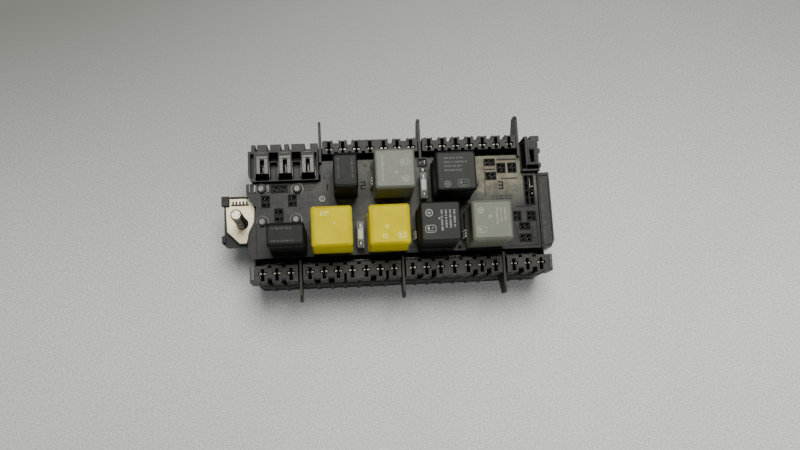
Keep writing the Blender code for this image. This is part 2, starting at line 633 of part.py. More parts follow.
def relay_cap(name, size):
    """A moulded cap, open below, with rounded uprights and a rounded top edge."""
    width, depth = size
    cap_bottom = RELAY_BASE_BOTTOM + RELAY_FLANGE + GAP
    loops = [
        (CAP_WALL, 1.0, cap_bottom, True), (0.0, 2.2, cap_bottom, False), (0.35, 2.2, RELAY_TOP - 1.4, False),
        (0.75, 2.0, RELAY_TOP - 0.4, False), (1.7, 1.6, RELAY_TOP, False),
    ]

    def build(bm):
        inner_top = RELAY_TOP - 1.5
        shapes = [(CAP_WALL + 0.5, 1.0, inner_top)] + [(inward, radius, z) for inward, radius, z, _ in loops]
        rings = [
            [
                bm.verts.new(Vector((x, y, z)) * MM)
                for x, y in round_rectangle(width - 2 * inward, depth - 2 * inward, radius)
            ]
            for inward, radius, z in shapes
        ]
        bm.faces.new(rings[0])
        for low, high in zip(rings, rings[1:]):
            for i in range(len(low)):
                j = (i + 1) % len(low)
                bm.faces.new((low[i], low[j], high[j], high[i]))
        bm.faces.new(rings[-1])
    return mesh_from(name, build)


def relay_base(name, size, blades):
    """The relay's header and flange with its blades moulded in."""
    width, depth = size
    flange_top = RELAY_BASE_BOTTOM + RELAY_FLANGE
    flange = rectangle(0.0, 0.0, width - 0.4, depth - 0.4)
    mesh = prism_mesh(name, flange, RELAY_BASE_BOTTOM, flange_top)
    inner = 2 * (CAP_WALL + 0.9)

    def header(bm):
        header_top = RELAY_BASE_BOTTOM + RELAY_HEADER
        add_box(bm, 0.0, 0.0, width - inner, depth - inner, flange_top - 0.5, header_top)

    def pins(bm):
        for x, y, along_x in blades:
            box = (BLADE_WIDTH, BLADE_THICK) if along_x else (BLADE_THICK, BLADE_WIDTH)
            add_box(bm, x, y, *box, RELAY_BASE_BOTTOM - BLADE_LENGTH, RELAY_BASE_BOTTOM + 0.6)
    return boolean(boolean(mesh, name, "UNION", header), name, "UNION", pins)


def relay_coil(name, size):
    """The coil on its L-shaped iron yoke, with the armature plate across its top."""
    depth = size[1]
    low = RELAY_BASE_BOTTOM + RELAY_HEADER + GAP
    radius = min(7.0, depth / 2 - 3.6)
    mesh = mesh_from(name, lambda bm: add_prism(bm, circle(-1.5, 0.0, radius), low, low + 20.0))

    outline = [
        (-9.0, low + 19.0), (8.4, low + 19.0), (8.4, low), (10.0, low), (10.0, low + 20.6), (-9.0, low + 20.6),
    ]
    half = depth / 2 - 3.5
    return boolean(mesh, name, "UNION", lambda bm: add_prism(bm, outline, -half, half, "Y"))


def make_relays(datum):
    meshes = {}
    for slim, size, blades in ((False, FULL_SIZE, FULL_BLADES), (True, SLIM_SIZE, SLIM_BLADES)):
        label = "slim" if slim else "full"
        meshes[slim] = (relay_base(f"{label}_base", size, blades), relay_coil(f"{label}_coil", size))
    for name, (x, y, slim, turned, colour) in RELAYS.items():
        hub = empty(name + "_axis", (x, y, 0.0), datum)
        if turned:
            hub.rotation_euler.z = math.radians(90)
        base, coil = meshes[slim]
        piece(name + "_cap", relay_cap(name + "_cap", SLIM_SIZE if slim else FULL_SIZE), colour, hub)
        piece(name + "_base", base, "housing_black", hub)
        piece(name + "_coil", coil, "coil_copper", hub)


def make_fuses(datum):
    half = FUSE_LENGTH / 2
    waist, ledge, top = half - 0.9, FUSE_BOTTOM + 6.6, FUSE_BOTTOM + FUSE_BODY
    body_outline = [
        (-waist, FUSE_BOTTOM), (waist, FUSE_BOTTOM), (waist, ledge), (half, ledge + 0.9), (half, top),
        (-half, top), (-half, ledge + 0.9), (-waist, ledge),
    ]
    near, far = FUSE_BLADE_SPACING / 2 - FUSE_BLADE_WIDTH / 2, FUSE_BLADE_SPACING / 2 + FUSE_BLADE_WIDTH / 2
    link_top, link_low, tip = FUSE_BOTTOM + 7.6, FUSE_BOTTOM + 6.0, FUSE_BOTTOM - FUSE_BLADE_LENGTH
    link_outline = [
        (-far, tip), (-near, tip), (-near, link_low), (near, link_low), (near, tip), (far, tip),
        (far, link_top), (-far, link_top),
    ]
    pocket = 1.1

    def slot(bm):
        add_box(bm, 0.0, 0.0, pocket, 2 * far + 0.7, FUSE_BOTTOM - 1, link_top + 0.4)
    solid = prism_mesh("fuse_body", body_outline, -FUSE_THICK / 2, FUSE_THICK / 2, "X")
    body = boolean(solid, "fuse_body", "DIFFERENCE", slot)
    link = prism_mesh("fuse_link", link_outline, -FUSE_BLADE_THICK / 2, FUSE_BLADE_THICK / 2, "X")
    for name, (x, y) in FUSES.items():
        hub = empty(name + "_axis", (x, y, 0.0), datum)
        piece(name + "_body", body, "fuse_clear", hub)
        piece(name + "_link", link, "contact_tin", hub)


def main():
    clear_scene()
    left = BRACKET_TOP_OUTLINE[0][0]
    right = END_COVER[2][0]
    datum = empty("box_datum", (-(left + right) / 2, (FRONT_FIN_TIP_Y - REAR_FIN_TIP_Y) / 2, 0.0))
    make_housing(datum)
    make_terminal(datum)
    make_rails(datum)
    make_maxi_holders(datum)
    make_deck(datum)
    make_inserts(datum)
    make_end_cover(datum)
    make_relays(datum)
    make_fuses(datum)
    bpy.context.view_layer.update()


main()
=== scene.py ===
import json
import math

import bmesh
import bpy
from mathutils import Matrix, Vector


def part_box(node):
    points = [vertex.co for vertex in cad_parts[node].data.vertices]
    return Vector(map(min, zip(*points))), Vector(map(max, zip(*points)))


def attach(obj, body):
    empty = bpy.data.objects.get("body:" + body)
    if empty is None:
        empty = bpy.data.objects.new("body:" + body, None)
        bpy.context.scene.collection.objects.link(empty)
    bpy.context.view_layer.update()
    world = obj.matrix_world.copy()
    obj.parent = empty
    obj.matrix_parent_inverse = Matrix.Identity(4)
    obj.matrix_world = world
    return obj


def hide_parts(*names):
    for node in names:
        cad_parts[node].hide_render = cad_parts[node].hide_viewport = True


# A vehicle fuse and relay box, seen from above. Pieces are drawn in millimetres about the middle front
# fin of the CAD model along X and its harness sockets along Y, with Z up from the surface below the box.

MM = 0.001
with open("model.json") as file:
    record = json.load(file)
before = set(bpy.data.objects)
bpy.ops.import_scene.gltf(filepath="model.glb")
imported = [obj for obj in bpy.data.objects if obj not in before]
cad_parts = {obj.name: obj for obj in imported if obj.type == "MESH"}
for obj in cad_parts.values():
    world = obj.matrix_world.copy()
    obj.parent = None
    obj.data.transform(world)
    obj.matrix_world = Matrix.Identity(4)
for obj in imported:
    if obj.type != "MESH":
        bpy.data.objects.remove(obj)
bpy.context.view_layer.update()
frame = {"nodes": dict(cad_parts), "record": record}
NODES = frame["nodes"]
SUBPARTS = frame["record"]["subparts"]


def middle(node):
    low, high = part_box(node)
    return (low + high) / 2


def top_of(node):
    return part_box(node)[1].z / MM


DATUM_X = middle("front_guide_fin_middle").x
DATUM_Y = middle("harness_socket_block").y
RAIL_TOP = top_of("front_fuse_block_1")
RELAY_TOP = top_of("relay_pale_grey_cap")
INSERT_TOP = top_of("socket_insert_left")
MAXI_TOP = top_of("maxi_fuse_block")
COVER_TOP = top_of("end_cover")
PLATE_TOP = top_of("terminal_plate")
HOUSING_TOP = top_of("lower_housing")
DECK_TOP = 46.0  # the deck's upper face, without the parts that rise from it
BLADE_LENGTH = 11.0  # a relay's blades, below its header
SUNK = 0.3  # how far most added details are rooted in what they stand on
SEAM = 1e-7  # metres: joins only the two ends of a closed ring


# --- mesh helpers ------------------------------------------------------------------

def point(x, y, z):
    return Vector((x * MM + DATUM_X, y * MM + DATUM_Y, z * MM))


def drawn(node):
    """A node's middle, and its size, in the drawing's millimetres."""
    low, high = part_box(node)
    centre = (low + high) / 2
    return (centre.x - DATUM_X) / MM, (centre.y - DATUM_Y) / MM, (high - low) / MM


def ends_of(node):
    """A node's left and right end, in the drawing's millimetres."""
    low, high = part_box(node)
    return (low.x - DATUM_X) / MM, (high.x - DATUM_X) / MM


def add_loft(bm, rings, closed=True):
    """Rings of as many points each, joined one to the next, with end caps when closed."""
    made = [[bm.verts.new(point(*place)) for place in ring] for ring in rings]
    count = len(made[0])
    for low, high in zip(made, made[1:]):
        for i in range(count):
            j = (i + 1) % count
            bm.faces.new((low[i], low[j], high[j], high[i]))
    if closed:
        bm.faces.new(list(reversed(made[0])))
        bm.faces.new(made[-1])


def add_prism(bm, outline, low, high):
    """An outline extruded along Z."""
    add_loft(bm, [[(a, b, level) for a, b in outline] for level in (low, high)])


def corners_of(width, depth):
    a, b = width / 2, depth / 2
    return [(-a, -b), (a, -b), (a, b), (-a, b)]


def add_box(bm, x, y, width, depth, low, high, turn=0.0):
    """A box about x and y, turned about its own middle by an angle in radians."""
    c, s = math.cos(turn), math.sin(turn)
    add_prism(bm, [(x + a * c - b * s, y + a * s + b * c) for a, b in corners_of(width, depth)], low, high)


def add_wedge(bm, x, y, width, depth, low, high, shrink):
    """A box whose top is smaller on every side."""
    rings = []
    for level, inset in ((low, 0.0), (high, shrink)):
        corners = corners_of(width - 2 * inset, depth - 2 * inset)
        rings.append([(x + a, y + b, level) for a, b in corners])
    add_loft(bm, rings)


def circle(x, y, radius, count):
    turns = [2 * math.pi * i / count for i in range(count)]
    return [(x + radius * math.cos(turn), y + radius * math.sin(turn)) for turn in turns]


def add_turned(bm, x, y, profile, count):
    """A turned shape from (radius, z) pairs, bottom to top."""
    add_loft(bm, [[(a, b, z) for a, b in circle(x, y, radius, count)] for radius, z in profile])


def add_hoop(bm, x, y, outer, inner, low, high, count, start=0.0, sweep=360.0):
    """A flat ring with square edges, or the part of one that starts and sweeps by angles in degrees."""
    whole = sweep >= 360.0
    steps = count if whole else count + 1
    rings = []
    for i in range(steps):
        angle = math.radians(start + sweep * i / count)
        c, s = math.cos(angle), math.sin(angle)
        rings.append([
            (x + inner * c, y + inner * s, low), (x + outer * c, y + outer * s, low),
            (x + outer * c, y + outer * s, high), (x + inner * c, y + inner * s, high),
        ])
    if whole:
        rings.append(rings[0])
    add_loft(bm, rings, closed=not whole)
    if whole:
        bmesh.ops.remove_doubles(bm, verts=bm.verts, dist=SEAM)


def round_rectangle(width, depth, radius, steps=6):
    """The outline of a rectangle about the origin, each corner an arc of so many steps."""
    points = []
    for corner, (sx, sy) in enumerate([(1, 1), (-1, 1), (-1, -1), (1, -1)]):
        for step in range(steps + 1):
            angle = math.radians(90 * corner + 90 * step / steps)
            along = sx * (width / 2 - radius) + radius * math.cos(angle)
            across = sy * (depth / 2 - radius) + radius * math.sin(angle)
            points.append((along, across))
    return points


def add_to_scene(name, data):
    made = bpy.data.objects.new(name, data)
    bpy.context.scene.collection.objects.link(made)
    return made


def piece(name, build, finish, body="root", bevel=0.0, angle=35.0, replaces=()):
    """A piece from build(bm), with its finish, its bevel, the body it rides on and what it replaces.
    Edges that turn by more than angle, in degrees, stay sharp."""
    bm = bmesh.new()
    build(bm)
    bmesh.ops.recalc_face_normals(bm, faces=bm.faces)
    mesh = bpy.data.meshes.new(name)
    bm.to_mesh(mesh)
    bm.free()
    mesh.materials.append(finish)
    mesh.shade_smooth()
    mesh.set_sharp_from_angle(angle=math.radians(angle))
    made = add_to_scene(name, mesh)
    if bevel:
        soften(made, bevel)
    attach(made, body)
    if replaces:
        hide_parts(*replaces)


def soften(item, width):
    """A small bevel on the edges that turn by more than 40 degrees."""
    step = item.modifiers.new("soft_edges", "BEVEL")
    step.width = width * MM
    step.segments = 2
    step.limit_method = "ANGLE"
    step.angle_limit = math.radians(40)
    step.harden_normals = False


# --- materials ----------------------------------------------------------------------

def grow(tree, kind, inputs=None, **settings):
    """A new node with its settings, each input a value or another node's output."""
    made = tree.nodes.new(kind)
    for key, value in settings.items():
        setattr(made, key, value)
    for key, value in (inputs or {}).items():
        if isinstance(value, bpy.types.NodeSocket):
            tree.links.new(value, made.inputs[key])
        else:
            made.inputs[key].default_value = value
    return made


def start_material(name, **values):
    """A new material, its node tree, and its shader with the given sockets set."""
    made = bpy.data.materials.new(name)
    made.use_nodes = True
    shader = made.node_tree.nodes["Principled BSDF"]
    for key, value in values.items():
        shader.inputs[key.replace("_", " ")].default_value = value
    return made, made.node_tree, shader


def noise(tree, place, scale, detail=3.0, roughness=0.6):
    """Noise of about so many cells to the metre."""
    inputs = {"Vector": place, "Scale": scale, "Detail": detail, "Roughness": roughness}
    return grow(tree, "ShaderNodeTexNoise", inputs).outputs[0]


def spread(tree, value, low, high, to_low=0.0, to_high=1.0, curve="LINEAR"):
    """A value's range from low to high stretched over another range, and held at its ends."""
    inputs = {"Value": value, "From Min": low, "From Max": high, "To Min": to_low, "To Max": to_high}
    return grow(tree, "ShaderNodeMapRange", inputs, interpolation_type=curve).outputs[0]


def mixed(tree, amount, first, second):
    """A colour between two others."""
    made = grow(tree, "ShaderNodeMix", data_type="RGBA", blend_type="MIX")
    for socket, value in ((made.inputs[0], amount), (made.inputs[6], first), (made.inputs[7], second)):
        if isinstance(value, bpy.types.NodeSocket):
            tree.links.new(value, socket)
        else:
            socket.default_value = value
    return made.outputs[2]


def maths(tree, operation, first, second):
    made = grow(tree, "ShaderNodeMath", operation=operation)
    for socket, value in zip(made.inputs, (first, second)):
        if isinstance(value, bpy.types.NodeSocket):
            tree.links.new(value, socket)
        else:
            socket.default_value = value
    return made.outputs[0]


def times(tree, first, second):
    return maths(tree, "MULTIPLY", first, second)


def plus(tree, first, second):
    return maths(tree, "ADD", first, second)


def from_one(tree, value):
    return maths(tree, "SUBTRACT", 1.0, value)


def places(tree):
    """The place on the surface, in metres. Every piece's origin is the model's."""
    return grow(tree, "ShaderNodeTexCoord").outputs["Object"]


def rgb(red, green, blue):
    """A display colour, 0 to 255, as the linear colour that shaders take."""
    linear = [((v / 255 + 0.055) / 1.055) ** 2.4 if v > 10 else v / 255 / 12.92 for v in (red, green, blue)]
    return (*linear, 1.0)


def facing_up(tree):
    """1 where the surface faces up, 0 where it is upright."""
    normal = grow(tree, "ShaderNodeNewGeometry").outputs["Normal"]
    return grow(tree, "ShaderNodeSeparateXYZ", {0: normal}).outputs["Z"]


def joined(tree, shader, base, sheen, height, strength, grain):
    """Links a colour, a roughness and a bump, whose depth is grain in metres, to the shader."""
    tree.links.new(base, shader.inputs["Base Color"])
    tree.links.new(sheen, shader.inputs["Roughness"])
    bump = grow(tree, "ShaderNodeBump", {"Height": height, "Strength": strength, "Distance": grain})
    tree.links.new(bump.outputs[0], shader.inputs["Normal"])


DUST = rgb(132, 129, 118)
GRIT = rgb(190, 188, 176)


def plastic(name, colour, dust=0.3, rough=(0.42, 0.62), mottle=0.18, speck=0.0, shine=0.4):
    """Moulded plastic: uneven sheen, a fine grain, a darker mottle, and dust that lies on what faces up."""
    made, tree, shader = start_material(name, Specular_IOR_Level=shine)
    place = places(tree)
    broad = noise(tree, place, 90.0)
    fine = noise(tree, place, 2600.0, 2.0)
    medium = noise(tree, place, 520.0, 4.0, 0.7)
    darker = (*[c * (1.0 - mottle) for c in colour[:3]], 1.0)
    base = mixed(tree, spread(tree, broad, 0.35, 0.65), colour, darker)
    drifts = spread(tree, broad, 0.3, 0.7, dust * 0.35, dust)
    patchy = times(tree, drifts, spread(tree, medium, 0.38, 0.68, 0.15, 1.0))
    lying = times(tree, spread(tree, facing_up(tree), 0.55, 0.98), patchy)
    base = mixed(tree, lying, base, DUST)
    if speck:
        base = mixed(tree, spread(tree, fine, 0.64, 0.74, 0.0, speck), base, GRIT)
    sheen = spread(tree, medium, 0.3, 0.7, rough[0], rough[1])
    sheen = plus(tree, sheen, times(tree, lying, 0.25))
    joined(tree, shader, base, sheen, plus(tree, fine, times(tree, medium, 0.8)), 0.6, 0.000025)
    return made


def metal(name, colour, tarnish, rough=(0.2, 0.42), scratch=2700.0, metallic=1.0):
    """Plated metal: brushed scratches, and tarnish in patches."""
    made, tree, shader = start_material(name, Metallic=metallic)
    place = places(tree)
    stretched = grow(tree, "ShaderNodeMapping", {"Vector": place, "Scale": (1.0, 0.12, 1.0)}).outputs[0]
    lines = noise(tree, stretched, scratch, 4.0)
    patches = noise(tree, place, 260.0, 4.0, 0.65)
    base = mixed(tree, spread(tree, patches, 0.45, 0.7), colour, tarnish)
    sheen = spread(tree, lines, 0.3, 0.7, rough[0], rough[1])
    sheen = plus(tree, sheen, spread(tree, patches, 0.5, 0.8, 0.0, 0.12))
    joined(tree, shader, base, sheen, lines, 0.5, 0.00001)
    return made


def clear_plastic(name, colour, cloudy):
    """Clear plastic gone milky in places."""
    made, tree, shader = start_material(name, Transmission_Weight=0.35, IOR=1.5)
    cloud = noise(tree, places(tree), 420.0, 4.0)
    base = mixed(tree, spread(tree, cloud, 0.35, 0.7), colour, cloudy)
    joined(tree, shader, base, spread(tree, cloud, 0.3, 0.7, 0.12, 0.3), cloud, 0.4, 0.00002)
    return made


def scratches(tree, place):
    """Long thin scuffs that run across a surface at a slant."""
    lie = {"Vector": place, "Rotation": (0.0, 0.0, 0.5), "Scale": (0.08, 1.0, 1.0)}
    return noise(tree, grow(tree, "ShaderNodeMapping", lie).outputs[0], 1500.0, 3.0)


def deck_plastic():
    """Black plastic under blotchy dust, brown at the right rear and thin at the left and right front."""
    made, tree, shader = start_material("deck_plastic", Specular_IOR_Level=0.2)
    place = places(tree)
    broad = noise(tree, place, 45.0, 5.0, 0.65)
    medium = noise(tree, place, 380.0, 5.0, 0.75)
    fine = noise(tree, place, 2400.0, 2.0)
    axes = grow(tree, "ShaderNodeSeparateXYZ", {0: place})

    # the zones' edges, in metres, wander with the broad noise
    wander = times(tree, broad, 0.024)
    along = plus(tree, axes.outputs["X"], wander)
    right = spread(tree, along, 0.070, 0.084)
    end = spread(tree, along, 0.104, 0.122, 1.0, 0.25)
    rear = spread(tree, plus(tree, axes.outputs["Y"], wander), 0.010, 0.030)
    brown = times(tree, times(tree, right, rear), end)
    front_right = times(tree, right, from_one(tree, rear))

    blotches = spread(tree, broad, 0.38, 0.62, 0.16, 0.82)
    patchy = times(tree, blotches, spread(tree, medium, 0.34, 0.66, 0.35, 1.0))
    lying = times(tree, spread(tree, facing_up(tree), 0.6, 0.98), patchy)
    lying = times(tree, lying, spread(tree, axes.outputs["X"], -0.062, -0.034, 0.12, 1.0))
    lying = times(tree, lying, from_one(tree, times(tree, front_right, 0.9)))
    scuffs = spread(tree, scratches(tree, place), 0.6, 0.66, 0.0, 0.22)
    lying = plus(tree, lying, times(tree, scuffs, facing_up(tree)))
    lying = plus(tree, lying, times(tree, brown, spread(tree, medium, 0.3, 0.7, 0.24, 0.48)))

    dust = mixed(tree, brown, rgb(124, 123, 114), rgb(142, 136, 114))
    base = mixed(tree, lying, rgb(19, 19, 18), dust)
    sheen = spread(tree, medium, 0.3, 0.7, 0.3, 0.46)
    sheen = plus(tree, sheen, times(tree, lying, 0.34))
    joined(tree, shader, base, sheen, plus(tree, fine, medium), 0.6, 0.00003)
    return made


def base_and_blades():
    """A relay's black header, and the tinned blades below it."""
    made, tree, shader = start_material("relay_base_and_blades", Specular_IOR_Level=0.35)
    place = places(tree)
    fine = noise(tree, place, 1800.0, 3.0)
    medium = noise(tree, place, 420.0, 4.0)
    height = grow(tree, "ShaderNodeSeparateXYZ", {0: place}).outputs["Z"]
    header_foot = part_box("relay_pale_grey_base")[0].z + BLADE_LENGTH * MM
    blade = spread(tree, height, header_foot, header_foot - 0.1 * MM)
    tin = mixed(tree, spread(tree, medium, 0.4, 0.7), rgb(222, 218, 204), rgb(150, 144, 128))
    header = mixed(tree, spread(tree, medium, 0.35, 0.65), rgb(24, 24, 23), rgb(14, 14, 13))
    tree.links.new(blade, shader.inputs["Metallic"])
    sheen = spread(tree, fine, 0.3, 0.7, 0.3, 0.5)
    joined(tree, shader, mixed(tree, blade, header, tin), sheen, fine, 0.5, 0.00001)
    return made


BLACK = plastic("black_plastic", rgb(15, 15, 15), dust=0.08, shine=0.32)
# near-black, darker than the housing: painted shade of the sockets' deep cavities on the inserts and their
# walls, and the dark print of the position numbers
BLACK_AND_CAVITY_SHADE = plastic("black_plastic_and_painted_cavity_shade", rgb(4, 4, 4), dust=0.04, speck=0.1, shine=0.16)
RAIL = plastic("rail_plastic", rgb(17, 17, 16), dust=0.34, speck=0.3, mottle=0.3, shine=0.3)
DECK = deck_plastic()
RELAY_BASE = base_and_blades()
COVER = plastic(
    "end_cover_plastic", rgb(20, 20, 18), dust=0.38, rough=(0.34, 0.52), mottle=0.4, shine=0.22)
RIB = plastic("rib_plastic", rgb(26, 26, 25), dust=0.26)
RIM = plastic("maxi_rim_plastic", rgb(52, 52, 46), dust=0.34, rough=(0.25, 0.42), mottle=0.5, shine=0.5)
SMOKE = plastic("smoky_plastic", rgb(112, 112, 104), dust=0.2, rough=(0.2, 0.36), mottle=0.3, shine=0.7)
POST = plastic("post_plastic", rgb(62, 62, 57), dust=0.4, rough=(0.25, 0.4), mottle=0.4, shine=0.6)
TONGUE = plastic("catch_plastic", rgb(214, 214, 204), dust=0.1, rough=(0.25, 0.4), mottle=0.3, shine=0.7)
YELLOW = plastic(
    "yellow_plastic", rgb(216, 198, 0), dust=0.0, rough=(0.55, 0.7), mottle=0.14, shine=0.06)
BLACK_CAP = plastic(
    "black_cap_plastic", rgb(22, 24, 20), dust=0.13, rough=(0.42, 0.56), mottle=0.14, shine=0.21)
SLIM_CAP = plastic(
    "slim_cap_plastic", rgb(16, 18, 15), dust=0.06, rough=(0.4, 0.54), mottle=0.14, shine=0.17)
GREY_CAP = plastic("grey_cap_plastic", rgb(116, 118, 107), dust=0.1, rough=(0.46, 0.6), mottle=0.08)
PALE_CAP = plastic("pale_grey_cap_plastic", rgb(112, 115, 98), dust=0.08, rough=(0.46, 0.6), mottle=0.08)
YELLOW_MARK = plastic("yellow_marking", rgb(255, 246, 160), dust=0.0, shine=0.2)
MARK_PALE = plastic("pale_marking", rgb(172, 174, 164), dust=0.1)
MARK_GREY = plastic("grey_marking", rgb(98, 100, 94), dust=0.1)
MARK_SLIM = plastic("slim_marking", rgb(64, 68, 63), dust=0.05)
LABEL = plastic("fuse_label_plastic", rgb(206, 212, 198), dust=0.04)
MARK_DARK = plastic("dark_marking", rgb(10, 10, 9), dust=0.02, shine=0.3)
TIN = metal("tin_plate", rgb(226, 224, 214), rgb(150, 146, 134))
DULL_TIN = metal("dull_tin_plate", rgb(138, 136, 124), rgb(66, 64, 56), (0.3, 0.5))
# tin plate darkened with painted shade, for the contacts deep in the maxi slots
TIN_IN_PAINTED_SHADE = metal("tin_plate_in_painted_shade", rgb(84, 82, 74), rgb(40, 38, 34), (0.35, 0.5))
STEEL = metal("stud_steel", rgb(160, 158, 140), rgb(64, 62, 46), (0.2, 0.4))
CREAM_TIN = metal(
    "yellowed_tin_plate", rgb(255, 244, 206), rgb(250, 228, 176), (0.36, 0.56), 1500.0, metallic=0.1)
COPPER = metal("enamelled_copper", rgb(178, 96, 54), rgb(110, 54, 30))
CLEAR = clear_plastic("clear_fuse_plastic", rgb(132, 140, 130), rgb(158, 165, 155))

# the finish of each material slot of the record, and how wide its bevel is where it has one
FINISH = {
    "housing_black": BLACK, "rail_black": RAIL, "deck_grey": DECK, "yellow_cap": YELLOW,
    "black_cap": BLACK_CAP, "grey_cap": GREY_CAP, "pale_grey_cap": PALE_CAP, "relay_base": RELAY_BASE,
    "fuse_clear": CLEAR, "contact_tin": TIN, "plate_tin": CREAM_TIN, "coil_copper": COPPER,
}
SOFT_EDGE = {
    "housing_black": 0.3, "rail_black": 0.22, "deck_grey": 0.3, "plate_tin": 0.2, "contact_tin": 0.12,
}
# nodes that look unlike the rest of their slot
OWN_FINISH = {
    "end_cover": COVER, "feed_busbar": DULL_TIN, "front_contact_comb": DULL_TIN,
    # the maxi contacts take the tin darkened with painted shade
    "rear_contact_comb": DULL_TIN, "maxi_contact_left": TIN_IN_PAINTED_SHADE, "maxi_contact_right": TIN_IN_PAINTED_SHADE,
    # the socket and connector inserts are near-black: black plastic with painted shade of their deep cavities
    "socket_insert_left": BLACK_AND_CAVITY_SHADE, "socket_insert_front_right": BLACK_AND_CAVITY_SHADE, "socket_insert_rear_right": BLACK_AND_CAVITY_SHADE,
    "connector_insert_right": BLACK_AND_CAVITY_SHADE,
}


def finish_cad_nodes():
    """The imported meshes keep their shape: their facets are welded and their edges softened by modifiers."""
    for entry in SUBPARTS:
        name, slot = entry["node"], entry["material_slot"]
        item = NODES[name]
        item.data.materials.clear()
        item.data.materials.append(OWN_FINISH.get(name, FINISH[slot]))
        if slot in SOFT_EDGE:
            weld = item.modifiers.new("weld", "WELD")
            weld.merge_threshold = 0.01 * MM
            soften(item, SOFT_EDGE[slot])


# --- relays ---------------------------------------------------------------------------

# each relay's cap: (finish, inset of its top panel along x, the same along y, drop of its outer edge)
CAPS = {
    "relay_yellow_left": (YELLOW, 2.4, 1.6, 1.2), "relay_yellow_right": (YELLOW, 2.4, 1.6, 1.2),
    "relay_black_front": (BLACK_CAP, 1.5, 1.5, 0.9), "relay_pale_grey": (PALE_CAP, 1.6, 1.8, 1.0),
    "relay_grey_rear": (GREY_CAP, 1.5, 1.6, 1.0), "relay_black_rear": (BLACK_CAP, 1.5, 1.5, 0.9),
    "relay_slim_rear": (SLIM_CAP, 1.2, 3.0, 1.2), "relay_slim_front": (SLIM_CAP, 1.56, 2.6, 1.1),
}
LIP = 3.6  # height of the band round the top of a cap
GROOVE = 0.8  # depth below the top panel of the groove round it


def cap_rings(x, y, width, depth, edge_x, edge_y, drop):
    """The rings of a cap from its foot up: a draft, a lip, a rounded edge, a groove and a top panel."""
    low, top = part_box("relay_pale_grey_cap")[0].z / MM, RELAY_TOP
    rim_x, rim_y = edge_x * 0.8, edge_y * 0.8
    # (inset along x, inset along y, corner radius, z)
    shape = [
        (0.0, 0.0, 2.0, low), (0.0, 0.0, 2.0, low + 1.2), (0.3, 0.3, 2.0, low + 1.5),
        (0.6, 0.6, 2.1, top - LIP - 0.5), (0.2, 0.2, 2.2, top - LIP), (0.22, 0.22, 2.2, top - drop - 1.5),
        (0.4, 0.4, 2.2, top - drop - 0.6), (0.8, 0.8, 2.1, top - drop), (rim_x, rim_y, 1.9, top - 0.34),
        (rim_x + 0.12, rim_y + 0.12, 1.9, top - GROOVE), (edge_x + 0.1, edge_y + 0.1, 1.7, top - GROOVE),
        (edge_x + 0.3, edge_y + 0.3, 1.5, top),
    ]
    return outline_rings(x, y, width, depth, shape)


def outline_rings(x, y, width, depth, shape, steps=6):
    """Rounded rectangles about x and y, one for each (inset along x, inset along y, corner radius, z)."""
    rings = []
    for inset_x, inset_y, radius, z in shape:
        outline = round_rectangle(width - 2 * inset_x, depth - 2 * inset_y, radius, steps)
        rings.append([(x + a, y + b, z) for a, b in outline])
    return rings


def add_ring_outline(bm, x, y, width, depth, radius, stroke, low, high):
    """A raised line that follows a rounded rectangle."""
    outer, inner = (0.0, 0.0, radius), (stroke, stroke, max(radius - stroke, 0.05))
    shape = [(*inner, low), (*outer, low), (*outer, high), (*inner, high), (*inner, low)]
    add_loft(bm, outline_rings(x, y, width, depth, shape), closed=False)
    bmesh.ops.remove_doubles(bm, verts=bm.verts, dist=SEAM)


def add_symbol(bm, x, y, size, low, high):
    """A plain coil-and-contact sign in a rounded frame."""
    stroke = 0.34
    add_ring_outline(bm, x, y, size, size * 0.7, size * 0.24, stroke, low, high)
    add_box(bm, x - size * 0.2, y + size * 0.06, size * 0.18, size * 0.24, low, high)
    add_box(bm, x + size * 0.18, y + size * 0.08, size * 0.26, stroke, low, high, math.radians(28))
    add_box(bm, x, y - size * 0.18, size * 0.56, stroke, low, high)


def add_ticks(bm, x, y, length, upright, low, high):
    """A run of plain ticks of two heights, where the real cap has moulded print."""
    spacing = 0.85
    count = max(2, round(length / spacing))
    for i in range(count):
        along = ((i + 0.5) / count - 0.5) * length
        width, height = 0.42, 1.5 - 0.5 * (i % 2)
        if upright:
            add_box(bm, x, y - along, height, width, low, high)
        else:
            add_box(bm, x + along, y, width, height, low, high)


def add_marks(bm, marks, x, y, low, high):
    """Raised markings: rings, runs of ticks, and a coil-and-contact sign. None of them is lettering."""
    for kind, across, along, size in marks:
        cx, cy = x + across, y + along
        if kind == "pip":
            add_hoop(bm, cx, cy, size, max(size - 0.55, size * 0.4), low, high + 0.1, count=20)
            if size > 2.0:
                add_hoop(bm, cx, cy, 0.95, 0.4, low, high, count=12)
        elif kind in ("row", "column"):
            add_ticks(bm, cx, cy, size, kind == "column", low, high)
        elif kind == "symbol":
            add_symbol(bm, cx, cy, size, low, high)


def print_rows(start_x, start_y, rows, pitch, upright=False):
    """Rows or columns of ticks that stand for moulded print, from the length of each word."""
    gap = 0.7
    marks = []
    for row, words in enumerate(rows):
        run = 0.0
        for word in words:
            centre = run + word / 2
            if upright:
                marks.append(("column", start_x + row * pitch, start_y - centre, word))
            else:
                marks.append(("row", start_x + centre, start_y - row * pitch, word))
            run += word + gap
    return marks


